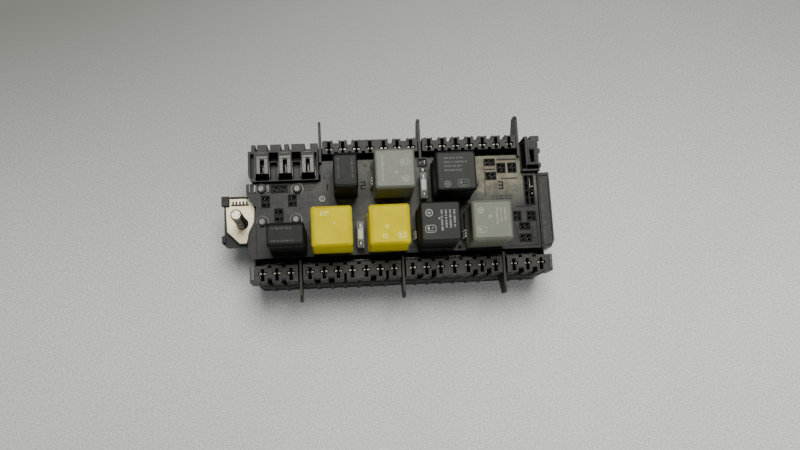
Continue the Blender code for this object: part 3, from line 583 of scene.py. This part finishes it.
# markings about each cap's middle: (kind, x, y, length or size)
MARKS = {
    "relay_yellow_left": [("pip", 1.9, 1.6, 0.6)]
    + print_rows(-7.5, 9.6, [[2.0, 1.2, 1.0], [1.4, 2.2]], 1.8),
    "relay_yellow_right": [("pip", -1.8, -1.8, 1.1), ("symbol", 8.0, -8.0, 6.0), ("pip", -3.6, -8.4, 1.6)],
    "relay_black_front": [("symbol", -7.2, -5.2, 7.6), ("pip", -7.8, 5.9, 2.6), ("pip", -0.9, 1.8, 0.7)]
    + print_rows(
        0.8, 7.8, [[3.4, 2.0, 4.2, 3.0], [4.6, 1.4, 5.4], [2.6, 3.0, 5.8], [3.8, 5.2, 2.0]], 2.9, True),
    "relay_pale_grey": [("pip", -1.6, 2.2, 1.1), ("symbol", -7.8, -6.7, 6.6), ("pip", -7.9, 6.6, 2.2)]
    + print_rows(3.2, 8.0, [[2.6, 4.0, 3.2], [3.8, 2.0, 3.0], [5.0, 3.4]], 2.8, True),
    "relay_grey_rear": [("pip", 0.8, -3.1, 1.1), ("symbol", 7.0, 3.9, 6.8), ("pip", 7.2, -7.6, 2.3)]
    + print_rows(-8.6, 9.2, [[3.0, 4.2, 2.6, 3.4, 2.2]], 2.4, True),
    "relay_black_rear": [("symbol", 4.4, -9.0, 7.6), ("pip", -6.6, -9.4, 2.3)]
    + print_rows(-8.4, 9.0, [[3.0, 4.4, 5.0], [4.2, 2.0, 6.4, 1.6], [5.0, 2.6, 3.2], [2.2, 4.8, 4.0]], 2.9),
    "relay_slim_rear": print_rows(
        -5.0, 8.8, [[2.6, 1.4, 3.0, 2.2, 2.6], [1.8, 3.0, 2.2, 1.6, 3.0]], 9.6, True),
    "relay_slim_front": print_rows(
        -9.6, 4.2, [[2.0, 2.4, 3.0, 2.2, 1.6], [3.2, 1.6, 2.4, 3.0, 2.0]], 8.6),
}
MARK_FINISH = {
    "relay_yellow_left": YELLOW_MARK, "relay_yellow_right": YELLOW_MARK, "relay_black_front": MARK_PALE,
    "relay_black_rear": MARK_GREY, "relay_grey_rear": MARK_PALE, "relay_pale_grey": MARK_PALE,
    "relay_slim_rear": MARK_SLIM, "relay_slim_front": MARK_SLIM,
}


def make_relays():
    for relay, (finish, edge_x, edge_y, drop) in CAPS.items():
        cap = relay + "_cap"
        x, y, size = drawn(cap)

        def moulding(bm):
            add_loft(bm, cap_rings(x, y, size.x, size.y, edge_x, edge_y, drop))

        def markings(bm):
            add_marks(bm, MARKS[relay], x, y, RELAY_TOP - 0.1, RELAY_TOP + 0.14)
        piece(cap + "_moulding", moulding, finish, relay, angle=50.0, replaces=(cap,))
        piece(relay + "_markings", markings, MARK_FINISH[relay], relay)


# --- blade fuses ---------------------------------------------------------------------------

def make_fuses():
    """Each clear fuse: a body with a wider head, two test windows, and a pale plate between them."""
    for fuse in ("fuse_front", "fuse_rear"):
        node = fuse + "_body"
        x, y, size = drawn(node)
        low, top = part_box(node)[0].z / MM, top_of(node)
        head = low + 6.6
        # (inset along x, inset along y, corner radius, z)
        shape = [
            (0.1, 1.0, 0.5, low), (0.0, 0.9, 0.7, low + 0.6), (0.0, 0.9, 0.7, head),
            (0.0, 0.0, 0.7, head + 0.9), (0.0, 0.0, 0.7, top - 0.7), (0.2, 0.2, 0.6, top - 0.2),
            (0.5, 0.5, 0.5, top),
        ]

        def body(bm):
            add_loft(bm, outline_rings(x, y, size.x, size.y, shape, 3))

        def windows(bm):
            for side in (-1, 1):
                add_ring_outline(bm, x, y + side * 6.6, 3.0, 4.4, 1.4, 0.6, top - 0.3, top + 0.06)

        def plate(bm):
            add_wedge(bm, x, y, 3.8, 7.4, top - 0.3, top + 0.12, 0.3)
            for side in (-1, 1):
                add_wedge(bm, x, y + side * 6.5, 1.2, 2.2, top - 0.4, top + 0.02, 0.1)
        piece(fuse + "_clear_body", body, CLEAR, fuse, replaces=(node,))
        piece(fuse + "_test_windows", windows, MARK_DARK, fuse)
        piece(fuse + "_rating_plate", plate, LABEL, fuse, bevel=0.1)


# --- fuse rails --------------------------------------------------------------------------

PITCH = 10.0  # from one way to the next
CONTACT_Y = 44.6  # the middle of the rails' contact slots
RAIL_FACE = 51.0  # about where the rails' outer faces are
# each block of the rails: (number of ways, side of the deck it is on)
RAIL_GROUPS = {
    "front_fuse_block_1": (3, -1), "front_fuse_block_2": (7, -1), "front_fuse_block_3": (7, -1),
    "front_fuse_block_4": (3, -1), "rear_fuse_block_1": (7, 1), "rear_fuse_block_2": (7, 1),
}


def ways():
    """Each fuse way's x and side, and whether it is the last of its block."""
    for block, (count, side) in RAIL_GROUPS.items():
        left, right = ends_of(block)
        # ways are set off from the left end of the last front block, and from the right end of the others
        start = left + PITCH / 2 if block == "front_fuse_block_4" else right - PITCH * (count - 0.5)
        for i in range(count):
            yield start + PITCH * i, side, i == count - 1


def make_rail_details():
    def tips(bm):
        """The two bright tips of each way's fork contact, down in its slot."""
        for x, side, _ in ways():
            for hand in (-1, 1):
                turn = hand * side * 0.4
                tip_x, tip_y = x + hand * 1.5, side * CONTACT_Y
                add_box(bm, tip_x, tip_y, 1.0, 0.75, RAIL_TOP - 2.0, RAIL_TOP - 0.4, turn)
    piece("fork_contact_tips", tips, TIN, bevel=0.3)

    def lips(bm):
        """Raised lips beside each way's slot, and columns down its outer face."""
        for x, side, _ in ways():
            for hand in (-1, 1):
                add_box(bm, x + hand * 1.9, side * 48.2, 0.7, 4.6, RAIL_TOP - SUNK, RAIL_TOP + 0.3)
                add_box(bm, x + hand * 2.4, side * (RAIL_FACE + 0.25), 0.8, 0.6, 31.0, RAIL_TOP - 0.4)
                add_box(bm, x + hand * 2.6, side * 41.2, 1.6, 0.6, RAIL_TOP - SUNK, RAIL_TOP + 0.22)
    piece("way_lips_and_columns", lips, RIB, bevel=0.15)

    def feet(bm):
        """A column from the surface up between each two ways, with a block at its head."""
        for x, side, last in ways():
            if last:
                continue
            between = x + PITCH / 2
            add_prism(bm, circle(between, side * RAIL_FACE, 1.7, 14), 0.2, 34.0)
            add_box(bm, between, side * (RAIL_FACE + 0.3), 2.6, 1.2, 33.8, 37.6)
    piece("rail_feet", feet, BLACK, bevel=0.3)

    def end_walls(bm):
        """Walls at the two ends of the front rail, and beside the middle fins."""
        left, right = ends_of("front_fuse_block_1")[0], ends_of("front_fuse_block_4")[1]
        add_box(bm, left + 1.9, -44.0, 2.8, 10.4, RAIL_TOP - SUNK, RAIL_TOP + 0.5)
        add_box(bm, right - 1.3, -CONTACT_Y, 1.6, 9.6, RAIL_TOP - SUNK, RAIL_TOP + 0.4)
        for side in (-1, 1):
            for x in (-2.4, 2.4):
                add_box(bm, x, side * 49.4, 1.0, 3.4, 36.0, RAIL_TOP - 1.0)
    piece("rail_end_walls", end_walls, RIM, bevel=0.3)


# --- maxi fuse holders --------------------------------------------------------------------

MAXI_WAYS = (-98.8, -82.3, -65.8)
MAXI_RIGHT = 99.8
MAXI_SPRING_FOOT = 38.0


def make_maxi_details():
    def rims(bm):
        """Rims beside and behind each way of the left holder."""
        for x in MAXI_WAYS:
            for hand in (-1, 1):
                add_box(bm, x + hand * 2.8, 33.6, 2.8, 11.4, MAXI_TOP - 0.5, MAXI_TOP + 0.5)
                add_box(bm, x + hand * 5.2, 29.0, 0.8, 7.4, MAXI_TOP - 0.4, MAXI_TOP + 0.2)
            add_box(bm, x, 40.2, 8.4, 2.0, MAXI_TOP - 0.4, MAXI_TOP + 0.5)
            add_box(bm, x, 43.6, 6.0, 0.9, MAXI_TOP - 0.4, MAXI_TOP + 0.25)
    piece("maxi_way_rims", rims, RIM, bevel=0.25)

    def blades(bm):
        """Contact springs on both sides of each tongue, and a tab in front."""
        for x in MAXI_WAYS:
            for y in (30.6, 36.2):
                for hand in (-1, 1):
                    add_box(bm, x + hand, y, 0.4, 3.0, MAXI_SPRING_FOOT, MAXI_SPRING_FOOT + 5.4)
            add_box(bm, x, 24.4, 4.2, 0.6, MAXI_SPRING_FOOT, MAXI_SPRING_FOOT + 4.6)
    # the springs take the tin darkened with painted shade of the slots they sit in
    piece("maxi_contact_springs", blades, TIN_IN_PAINTED_SHADE, bevel=0.15)

    def right_edges(bm):
        """Edges and rear teeth of the right holder."""
        foot = MAXI_TOP - 0.4
        for hand in (-1, 1):
            add_box(bm, MAXI_RIGHT + hand * 2.6, 34.2, 1.0, 12.4, foot, MAXI_TOP + 0.35)
        add_box(bm, MAXI_RIGHT, 41.2, 6.2, 1.0, foot, MAXI_TOP + 0.35)
        for step in range(3):
            add_box(bm, MAXI_RIGHT - 3.4 + 3.6 * step, 44.6, 1.0, 3.0, foot, MAXI_TOP + 0.25)
    piece("right_holder_edges", right_edges, RAIL, bevel=0.2)


# --- deck details ----------------------------------------------------------------------------

# a digit's strokes: (x and y of the middle, in halves of its width and height, whether it lies flat)
SEGMENTS = {
    "top": (0.0, 1.0, True), "middle": (0.0, 0.0, True), "bottom": (0.0, -1.0, True),
    "lower_left": (-1.0, -0.5, False), "upper_right": (1.0, 0.5, False), "lower_right": (1.0, -0.5, False),
}
DIGITS = {
    "1": ("upper_right", "lower_right"), "2": ("top", "upper_right", "middle", "lower_left", "bottom"),
    "3": ("top", "upper_right", "middle", "lower_right", "bottom"),
}
# the deck's ribs and small walls: (x, y, width, depth, rise)
RIBS = [
    (81.2, 34.2, 14.6, 1.0, 0.9), (82.4, 19.7, 12.6, 0.8, 0.7), (68.6, 27.0, 7.8, 0.8, 0.7),
    (64.0, 20.6, 0.6, 28.0, 0.3), (86.2, -21.0, 0.9, 9.2, 0.9), (97.4, -21.4, 0.9, 9.6, 0.9),
    (90.6, -30.6, 22.0, 0.9, 0.8), (100.8, -20.0, 0.8, 20.0, 0.9), (-80.0, 17.4, 0.7, 5.2, 0.8),
    (-23.7, 33.2, 2.2, 2.0, 0.5), (-54.2, 25.0, 2.2, 2.0, 0.5), (57.9, 16.2, 2.4, 2.6, 1.6),
    (8.0, -28.8, 3.0, 2.0, 1.0), (51.2, 1.2, 7.0, 0.8, 1.2), (47.0, 2.4, 0.8, 3.2, 1.2),
    (-6.0, -33.0, 190.0, 0.8, 1.0), (93.0, 10.2, 0.8, 24.0, 0.9), (-104.6, -18.0, 0.8, 22.0, 0.8),
    (-88.6, -9.0, 14.0, 0.8, 0.7), (92.0, -1.8, 12.0, 0.8, 0.7),
]
# relays with three catches at the left, and the first catch's y from the relay's middle
CATCHES = {"relay_grey_rear_cap": -0.7, "relay_black_front_cap": -2.6, "relay_pale_grey_cap": -2.6}
CATCH_TOP = 60.0
# the middles of curved guide walls beside the relays, of the screw posts and of the test point: (x, y)
ARCS = [(16.4, -2.4), (-19.8, -4.2), (-15.8, 32.4), (52.4, -2.6)]
POSTS = [(-100.0, 18.0), (-74.2, 17.2), (-99.8, -6.2), (-75.6, -5.2)]
TEST_POINT = (-56.4, 9.0)
BAY_X = 18.3  # the spare bay behind the rear fuse


def add_digit(bm, digit, x, y, low, high):
    """A socket's position number from straight strokes."""
    half, stroke = 1.25, 0.95
    for name in DIGITS[digit]:
        sx, sy, flat = SEGMENTS[name]
        width, depth = (2 * half + stroke, stroke) if flat else (stroke, 2 * half)
        add_box(bm, x + sx * half, y + sy * 2 * half, width, depth, low, high)


def make_deck_details():
    root = DECK_TOP - SUNK

    def ribs(bm):
        """Ribs, curved guide walls, and a small wedge near the front edge."""
        for x, y, width, depth, rise in RIBS:
            add_wedge(bm, x, y, width, depth, root, DECK_TOP + rise, 0.12)
        for x, y in ARCS:
            add_hoop(bm, x, y, 4.6, 3.9, root, DECK_TOP + 1.4, 12, start=110.0, sweep=140.0)
        add_wedge(bm, 42.4, -30.4, 3.0, 2.6, root, DECK_TOP + 1.8, 1.1)
    piece("deck_ribs", ribs, RIB, bevel=0.15)

    def catches(bm):
        """Springy tongues beside a relay: clear of its cap, so that it lifts past them."""
        for cap, first in CATCHES.items():
            x, y, size = drawn(cap)
            side = x - size.x / 2
            for tooth in range(3):
                tongue_y = y + first - 2.0 * tooth
                add_box(bm, side - 0.9, tongue_y, 1.0, 1.1, root, CATCH_TOP)
                add_box(bm, side - 1.6, tongue_y, 0.8, 0.7, root, CATCH_TOP - 6.0)
    piece("relay_catches", catches, TONGUE, bevel=0.2)

    def tab(bm):
        """Smoky guide walls on the deck's rear left tab."""
        for x, width in ((-108.6, 1.2), (-104.9, 1.8), (-95.2, 1.2)):
            add_wedge(bm, x, 18.2, width, 6.0, root, DECK_TOP + 1.6, 0.25)
        add_wedge(bm, -101.0, 21.2, 16.0, 0.8, root, DECK_TOP + 1.0, 0.2)
    piece("deck_tab_walls", tab, SMOKE, bevel=0.2)

    def test_point(bm):
        """A ring with a pin in its middle."""
        add_hoop(bm, *TEST_POINT, 2.3, 1.4, root, DECK_TOP + 0.9, count=20)
        add_turned(bm, *TEST_POINT, [(0.8, root), (0.8, DECK_TOP + 0.6), (0.5, DECK_TOP + 0.9)], 12)
    piece("deck_test_point", test_point, MARK_PALE, bevel=0.1)

    def posts(bm):
        """Dished screw posts, each in a thin ring."""
        dish = [(3.6, -SUNK), (3.6, 2.8), (3.3, 3.3), (2.5, 3.6), (2.3, 3.45), (1.2, 3.5)]
        for x, y in POSTS:
            add_turned(bm, x, y, [(radius, DECK_TOP + rise) for radius, rise in dish], 28)
            add_hoop(bm, x, y, 4.3, 3.8, root, DECK_TOP + 0.4, count=28)
    piece("deck_screw_posts", posts, POST, angle=40.0)

    def bay(bm):
        """The spare bay's two frames, and the floor of the larger one."""
        add_ring_outline(bm, BAY_X, 34.2, 7.6, 6.4, 0.5, 1.2, DECK_TOP - 0.2, DECK_TOP + 1.6)
        add_box(bm, BAY_X, 34.2, 5.4, 4.2, DECK_TOP - 0.1, DECK_TOP + 0.1)
        add_ring_outline(bm, BAY_X, 28.0, 4.4, 3.6, 0.4, 0.9, DECK_TOP - 0.2, DECK_TOP + 1.2)
    piece("spare_bay", bay, MARK_DARK, bevel=0.15)

    def bay_contacts(bm):
        foot = DECK_TOP - 0.1
        add_box(bm, BAY_X, 27.8, 0.9, 2.2, foot, DECK_TOP + 1.0)
        add_box(bm, BAY_X, 28.8, 2.6, 0.6, foot, DECK_TOP + 1.0)
        for hand in (-1, 1):
            add_box(bm, BAY_X + hand * 1.5, 34.0, 0.5, 2.6, foot, DECK_TOP + 0.8)
    piece("spare_bay_contacts", bay_contacts, DULL_TIN, bevel=0.1)

    def numbers(bm):
        """Position numbers, and plain dashes in two places where the real deck has faint print."""
        foot, dash_top = DECK_TOP - 0.1, DECK_TOP + 0.1
        for digit, x, y in (("1", -53.6, 17.6), ("2", -26.2, 18.0), ("3", 76.0, 14.6)):
            add_digit(bm, digit, x, y, foot, DECK_TOP + 0.25)
        for row, words in enumerate([[3.0, 2.0, 3.6], [2.4, 3.2, 1.6], [3.4, 2.8]]):
            run = -70.4
            for word in words:
                add_box(bm, run + word / 2, 20.6 - 2.2 * row, word, 0.4, foot, dash_top)
                run += word + 0.9
        run = 68.0
        for word in (2.6, 1.4, 3.2, 2.0, 2.8):
            add_box(bm, run + word / 2, 6.6, word, 0.4, foot, dash_top)
            add_box(bm, run + word / 2, 4.6, word * 0.8, 0.3, foot, dash_top)
            run += word + 1.0
    piece("deck_position_numbers", numbers, BLACK_AND_CAVITY_SHADE, bevel=0.08)


# socket windows: (x, y, width, depth, columns, rows)
WINDOWS = [
    (-87.4, 17.4, 11.4, 5.0, 4, 1), (-97.4, 8.4, 5.6, 8.4, 1, 3), (-78.0, 8.6, 5.6, 8.4, 1, 3),
    (-88.0, -2.0, 5.8, 9.4, 1, 3), (68.6, 32.3, 7.6, 5.0, 2, 1), (68.8, 21.8, 7.8, 5.4, 2, 1),
    (77.0, 27.6, 6.2, 7.2, 1, 2), (85.2, 27.6, 6.2, 7.2, 1, 2), (86.6, -9.2, 5.2, 6.8, 1, 2),
    (97.0, -9.4, 6.0, 6.8, 1, 2), (91.6, -16.8, 7.6, 5.0, 2, 1), (91.6, -25.6, 8.4, 5.4, 2, 1),
    (96.9, 10.1, 7.0, 22.2, 1, 4),
]


def cells_of(window):
    """The middles of a window's cells."""
    x, y, width, depth, columns, rows = window
    for column in range(columns):
        for row in range(rows):
            yield x + ((column + 0.5) / columns - 0.5) * width, y + ((row + 0.5) / rows - 0.5) * depth


def make_socket_details():
    def partitions(bm):
        """A rim round each window, and walls between its cells."""
        foot, wall_top = INSERT_TOP - 2.0, INSERT_TOP + 0.5
        for x, y, width, depth, columns, rows in WINDOWS:
            rim_size = (width + 0.4, depth + 0.4)
            add_ring_outline(bm, x, y, *rim_size, 0.5, 0.6, INSERT_TOP - 0.2, INSERT_TOP + 0.7)
            for i in range(1, columns):
                add_box(bm, x + (i / columns - 0.5) * width, y, 0.7, depth - 0.6, foot, wall_top)
            for i in range(1, rows):
                add_box(bm, x, y + (i / rows - 0.5) * depth, width - 0.6, 0.7, foot, wall_top)
    # the rims and walls share the inserts' near-black: painted cavity shade on black plastic
    piece("socket_partitions", partitions, BLACK_AND_CAVITY_SHADE, bevel=0.12)

    def springs(bm):
        """A pair of contact springs deep in each cell."""
        for window in WINDOWS:
            for x, y in cells_of(window):
                for hand in (-1, 1):
                    spring_x, spring_y = x + hand * 0.7, y + hand * 0.4
                    add_box(bm, spring_x, spring_y, 0.32, 0.7, INSERT_TOP - 2.6, INSERT_TOP - 0.5, 0.3)
    piece("socket_contact_springs", springs, DULL_TIN, bevel=0.08)

    def bars(bm):
        """The strip and tabs in the long connector at the right."""
        foot = INSERT_TOP - 1.0
        add_box(bm, 97.8, 15.6, 0.5, 7.4, foot, INSERT_TOP + 0.4)
        for x, y in ((99.4, 13.0), (99.0, 7.6), (96.2, 4.6)):
            add_box(bm, x, y, 0.9, 1.1, foot, INSERT_TOP + 0.3)
    piece("connector_contacts", bars, DULL_TIN, bevel=0.15)


TRENCH_STRIPS = [(-35.6, -24.0), (2.6, 14.0), (22.0, 44.0), (54.0, 58.6), (-92.0, -86.0)]
TRENCH_FLOOR = 32.1
# the ledges in the gaps in front of and behind the deck: (side, y, left end, right end)
LEDGES = [(-1, -36.9, -100.0, 99.0), (1, 39.3, -55.0, 88.0)]


def make_trench():
    """What shows in the gaps between the deck and the fuse rails: toothed ledges and terminal strips."""
    def strips(bm):
        for left, right in TRENCH_STRIPS:
            add_box(bm, (left + right) / 2, -35.6, right - left, 0.8, TRENCH_FLOOR + 0.1, 36.4)
    piece("trench_terminal_strips", strips, DULL_TIN, bevel=0.2)

    def ledge(bm):
        spacing = 6
        for side, y, left, right in LEDGES:
            add_box(bm, (left + right) / 2, y, right - left, 0.9, TRENCH_FLOOR, 38.4)
            for i in range(int((right - left) / spacing)):
                tooth_x = left + spacing * (i + 0.5)
                add_box(bm, tooth_x, y + side * 0.1, 1.1, 1.5, TRENCH_FLOOR, 41.0)
    piece("trench_ledges", ledge, RIB, bevel=0.15)


def make_end_cover_details():
    def ribs(bm):
        root = COVER_TOP - SUNK
        add_wedge(bm, 104.2, -5.0, 0.9, 54.0, root, COVER_TOP + 0.5, 0.15)
        add_wedge(bm, 107.6, 20.6, 7.4, 1.0, root, COVER_TOP + 0.7, 0.2)
        add_wedge(bm, 107.0, -31.4, 5.6, 1.0, root, COVER_TOP + 0.6, 0.2)
        add_wedge(bm, 111.2, -4.0, 0.8, 48.0, root, COVER_TOP + 0.4, 0.15)
        for y in (-24.0, -6.0, 12.0):
            add_box(bm, 111.8, y, 0.7, 6.0, 34.0, COVER_TOP - 1.5)
    piece("end_cover_ribs", ribs, COVER, bevel=0.2)


# --- battery terminal --------------------------------------------------------------------------

THREAD_PITCH = 1.25
THREAD_CREST = 3.95  # radius
THREAD_DEPTH = 0.62
STUD_CORE = 3.2  # radius


def make_terminal_details():
    x, y, _ = drawn("battery_stud")
    low, high = PLATE_TOP + 0.8, top_of("battery_stud") - 1.2

    def threaded(bm):
        """The stud: a plain foot, a thread of eight rings a turn that fades out, and a chamfered tip."""
        count = 28
        feet = [(STUD_CORE, PLATE_TOP - 9.0), (STUD_CORE, low - 0.4)]
        tip = [(STUD_CORE, high + 0.5), (STUD_CORE - 0.15, high + 1.2)]
        rings = [[(a, b, z) for a, b in circle(x, y, radius, count)] for radius, z in feet]
        steps = int((high - low) / THREAD_PITCH * 8)
        for i in range(steps + 1):
            z = low + (high - low) * i / steps
            fade = min(1.0, (high - z) / THREAD_PITCH + 0.2)
            ring = []
            for j in range(count):
                angle = 2 * math.pi * j / count
                phase = ((z - low) / THREAD_PITCH - j / count) % 1.0
                radius = THREAD_CREST - THREAD_DEPTH * abs(2 * phase - 1) * fade
                ring.append((x + radius * math.cos(angle), y + radius * math.sin(angle), z))
            rings.append(ring)
        rings += [[(a, b, z) for a, b in circle(x, y, radius, count)] for radius, z in tip]
        add_loft(bm, rings)
    piece(
        "battery_stud_threaded", threaded, STEEL, angle=30.0, replaces=("battery_stud",))

    def clips(bm):
        """A moulded comb over the plate's rear flange, and walls beside it."""
        root = PLATE_TOP - 0.4
        add_box(bm, -116.6, 8.2, 13.0, 0.8, root, PLATE_TOP + 1.0)
        for step in range(5):
            add_box(bm, -121.6 + 2.5 * step, 9.6, 1.1, 2.4, root, PLATE_TOP + 1.3)
        add_box(bm, -116.8, 13.6, 12.0, 0.7, PLATE_TOP - 1.4, PLATE_TOP + 1.2)
        add_box(bm, -121.6, -16.6, 11.6, 0.9, root, PLATE_TOP + 0.7, math.radians(-45))
        add_box(bm, -114.6, -21.2, 6.4, 0.9, PLATE_TOP - 1.4, PLATE_TOP + 0.6)
    piece("terminal_clips", clips, MARK_DARK, bevel=0.15)


# --- housing details, seen from the sides and from below ---------------------------------------

def add_latch(bm, x, y, side):
    """A latch loop over its tooth on a long side of the housing."""
    for hand in (-1, 1):
        add_box(bm, x + hand * 3.6, y, 1.4, 1.0, 2.6, 12.0)
    add_box(bm, x, y, 8.6, 1.0, 11.0, 12.6)
    add_wedge(bm, x, y - side * 0.1, 5.0, 0.9, 8.0, 10.4, 0.2)


def make_housing_details():
    x, y, size = drawn("lower_housing")
    half_x, half_y = size.x / 2, size.y / 2

    def ribs(bm):
        """Stiffening ribs and a seam bead around the housing, proud by less than the bottom cover."""
        margin, rib_foot = 16, 5.0
        for side in (-1, 1):
            for step in range(11):
                rib_x = x - half_x + margin + (size.x - 2 * margin) * step / 10
                add_box(bm, rib_x, side * half_y, 1.6, 0.7, rib_foot, HOUSING_TOP - 2.0)
            add_box(bm, x, side * half_y, size.x - margin, 0.6, HOUSING_TOP - 2.4, HOUSING_TOP - 1.2)
            for step in range(5):
                rib_y = 16.0 * (step - 2)
                add_box(bm, x + side * half_x, rib_y, 0.7, 1.6, rib_foot, HOUSING_TOP - 2.0)
    piece("housing_ribs", ribs, BLACK, bevel=0.2)

    def latches(bm):
        """Snap latches that hold the bottom cover."""
        for side in (-1, 1):
            for latch_x in (-76.0, -25.0, 26.0, 77.0):
                add_latch(bm, x + latch_x, side * (half_y + 0.1), side)
    piece("cover_latches", latches, RIB, bevel=0.2)

    def pins(bm):
        """Two rows of eight tab terminals inside each of the three harness sockets."""
        for socket_x in (-62.0, 0.0, 62.0):
            for column in range(8):
                for row in (-1, 1):
                    pin_x = socket_x + (column - 3.5) * 6.6
                    add_box(bm, pin_x, row * 7.0, 0.8, 5.2, 1.6, 9.6)
    piece("harness_pins", pins, TIN, bevel=0.15)


# --- surroundings ---------------------------------------------------------------------------------

def make_floor():
    """A pale surface with a fine speckle, and painted shade that darkens it towards the rear and a little
    towards the left.
    """
    mesh = bpy.data.meshes.new("surface")
    reach = 3.0
    corners = [(-reach, -reach, 0), (reach, -reach, 0), (reach, reach, 0), (-reach, reach, 0)]
    mesh.from_pydata(corners, [], [(0, 1, 2, 3)])
    floor = add_to_scene("surface", mesh)
    made, tree, shader = start_material("pale_surface")
    place = places(tree)
    grain = noise(tree, place, 760.0, 3.0, 0.85)
    cloud = noise(tree, place, 6.0, 3.0)
    base = mixed(tree, spread(tree, grain, 0.44, 0.57), rgb(206, 208, 200), rgb(255, 255, 252))
    base = mixed(tree, spread(tree, cloud, 0.3, 0.7, 0.0, 0.12), base, rgb(150, 150, 145))
    axes = grow(tree, "ShaderNodeSeparateXYZ", {0: place})
    # painted shade: the colour darkens towards the rear and a little towards the left, where the light falls
    # off
    rear = spread(tree, axes.outputs["Y"], -0.12, 0.26, 0.0, 0.8, "SMOOTHSTEP")
    left = spread(tree, axes.outputs["X"], -0.34, 0.24, 0.3, 0.0, "SMOOTHSTEP")
    base = mixed(tree, plus(tree, rear, left), base, rgb(112, 113, 106))
    joined(tree, shader, base, spread(tree, grain, 0.3, 0.7, 0.5, 0.7), grain, 0.4, 0.00008)
    mesh.materials.append(made)


def area_light(name, place, aim, size, watts, colour):
    """A round light that faces its aim. Its place, aim and size are in metres."""
    data = bpy.data.lights.new(name, "AREA")
    data.shape = "DISK"
    data.size = size
    data.energy = watts
    data.color = colour
    lamp = add_to_scene(name, data)
    lamp.location = place
    lamp.rotation_euler = (Vector(aim) - Vector(place)).to_track_quat("-Z", "Y").to_euler()


def make_lights():
    """Soft light from above and behind, a weak one from the front right, and a dim sky."""
    area_light(
        "key", place=(0.08, 0.66, 1.7), aim=(0.0, 0.0, 0.05), size=1.1, watts=37.5,
        colour=(1.0, 0.995, 0.97))
    area_light(
        "front_right", place=(0.7, -1.5, 1.5), aim=(0.3, -0.5, 0.0), size=1.4, watts=6.0,
        colour=(0.98, 0.98, 1.0))
    world = bpy.data.worlds.new("studio")
    world.use_nodes = True
    sky = world.node_tree.nodes["Background"]
    sky.inputs["Color"].default_value = (0.93, 0.96, 1.0, 1.0)
    sky.inputs["Strength"].default_value = 0.2
    bpy.context.scene.world = world


# the camera's place in metres, and its turns in radians from looking straight down
CAMERA_PLACE = (-0.03485, -0.1124 + DATUM_Y, 0.6263)
CAMERA_SPIN, CAMERA_TILT, CAMERA_LEAN = -0.0517, 0.1701, -0.0742


def make_camera():
    data = bpy.data.cameras.new("camera")
    data.lens = 36.4
    data.sensor_width = 36.0
    data.clip_start = 0.01
    camera = add_to_scene("camera", data)
    spin = Matrix.Rotation(CAMERA_SPIN, 4, "Z")
    tilt = Matrix.Rotation(CAMERA_TILT, 4, "X")
    lean = Matrix.Rotation(CAMERA_LEAN, 4, "Y")
    camera.matrix_world = Matrix.Translation(CAMERA_PLACE) @ (lean @ tilt @ spin)
    bpy.context.scene.camera = camera


finish_cad_nodes()
make_relays()
make_fuses()
make_rail_details()
make_maxi_details()
make_deck_details()
make_socket_details()
make_trench()
make_end_cover_details()
make_terminal_details()
make_housing_details()
make_floor()
make_lights()
make_camera()
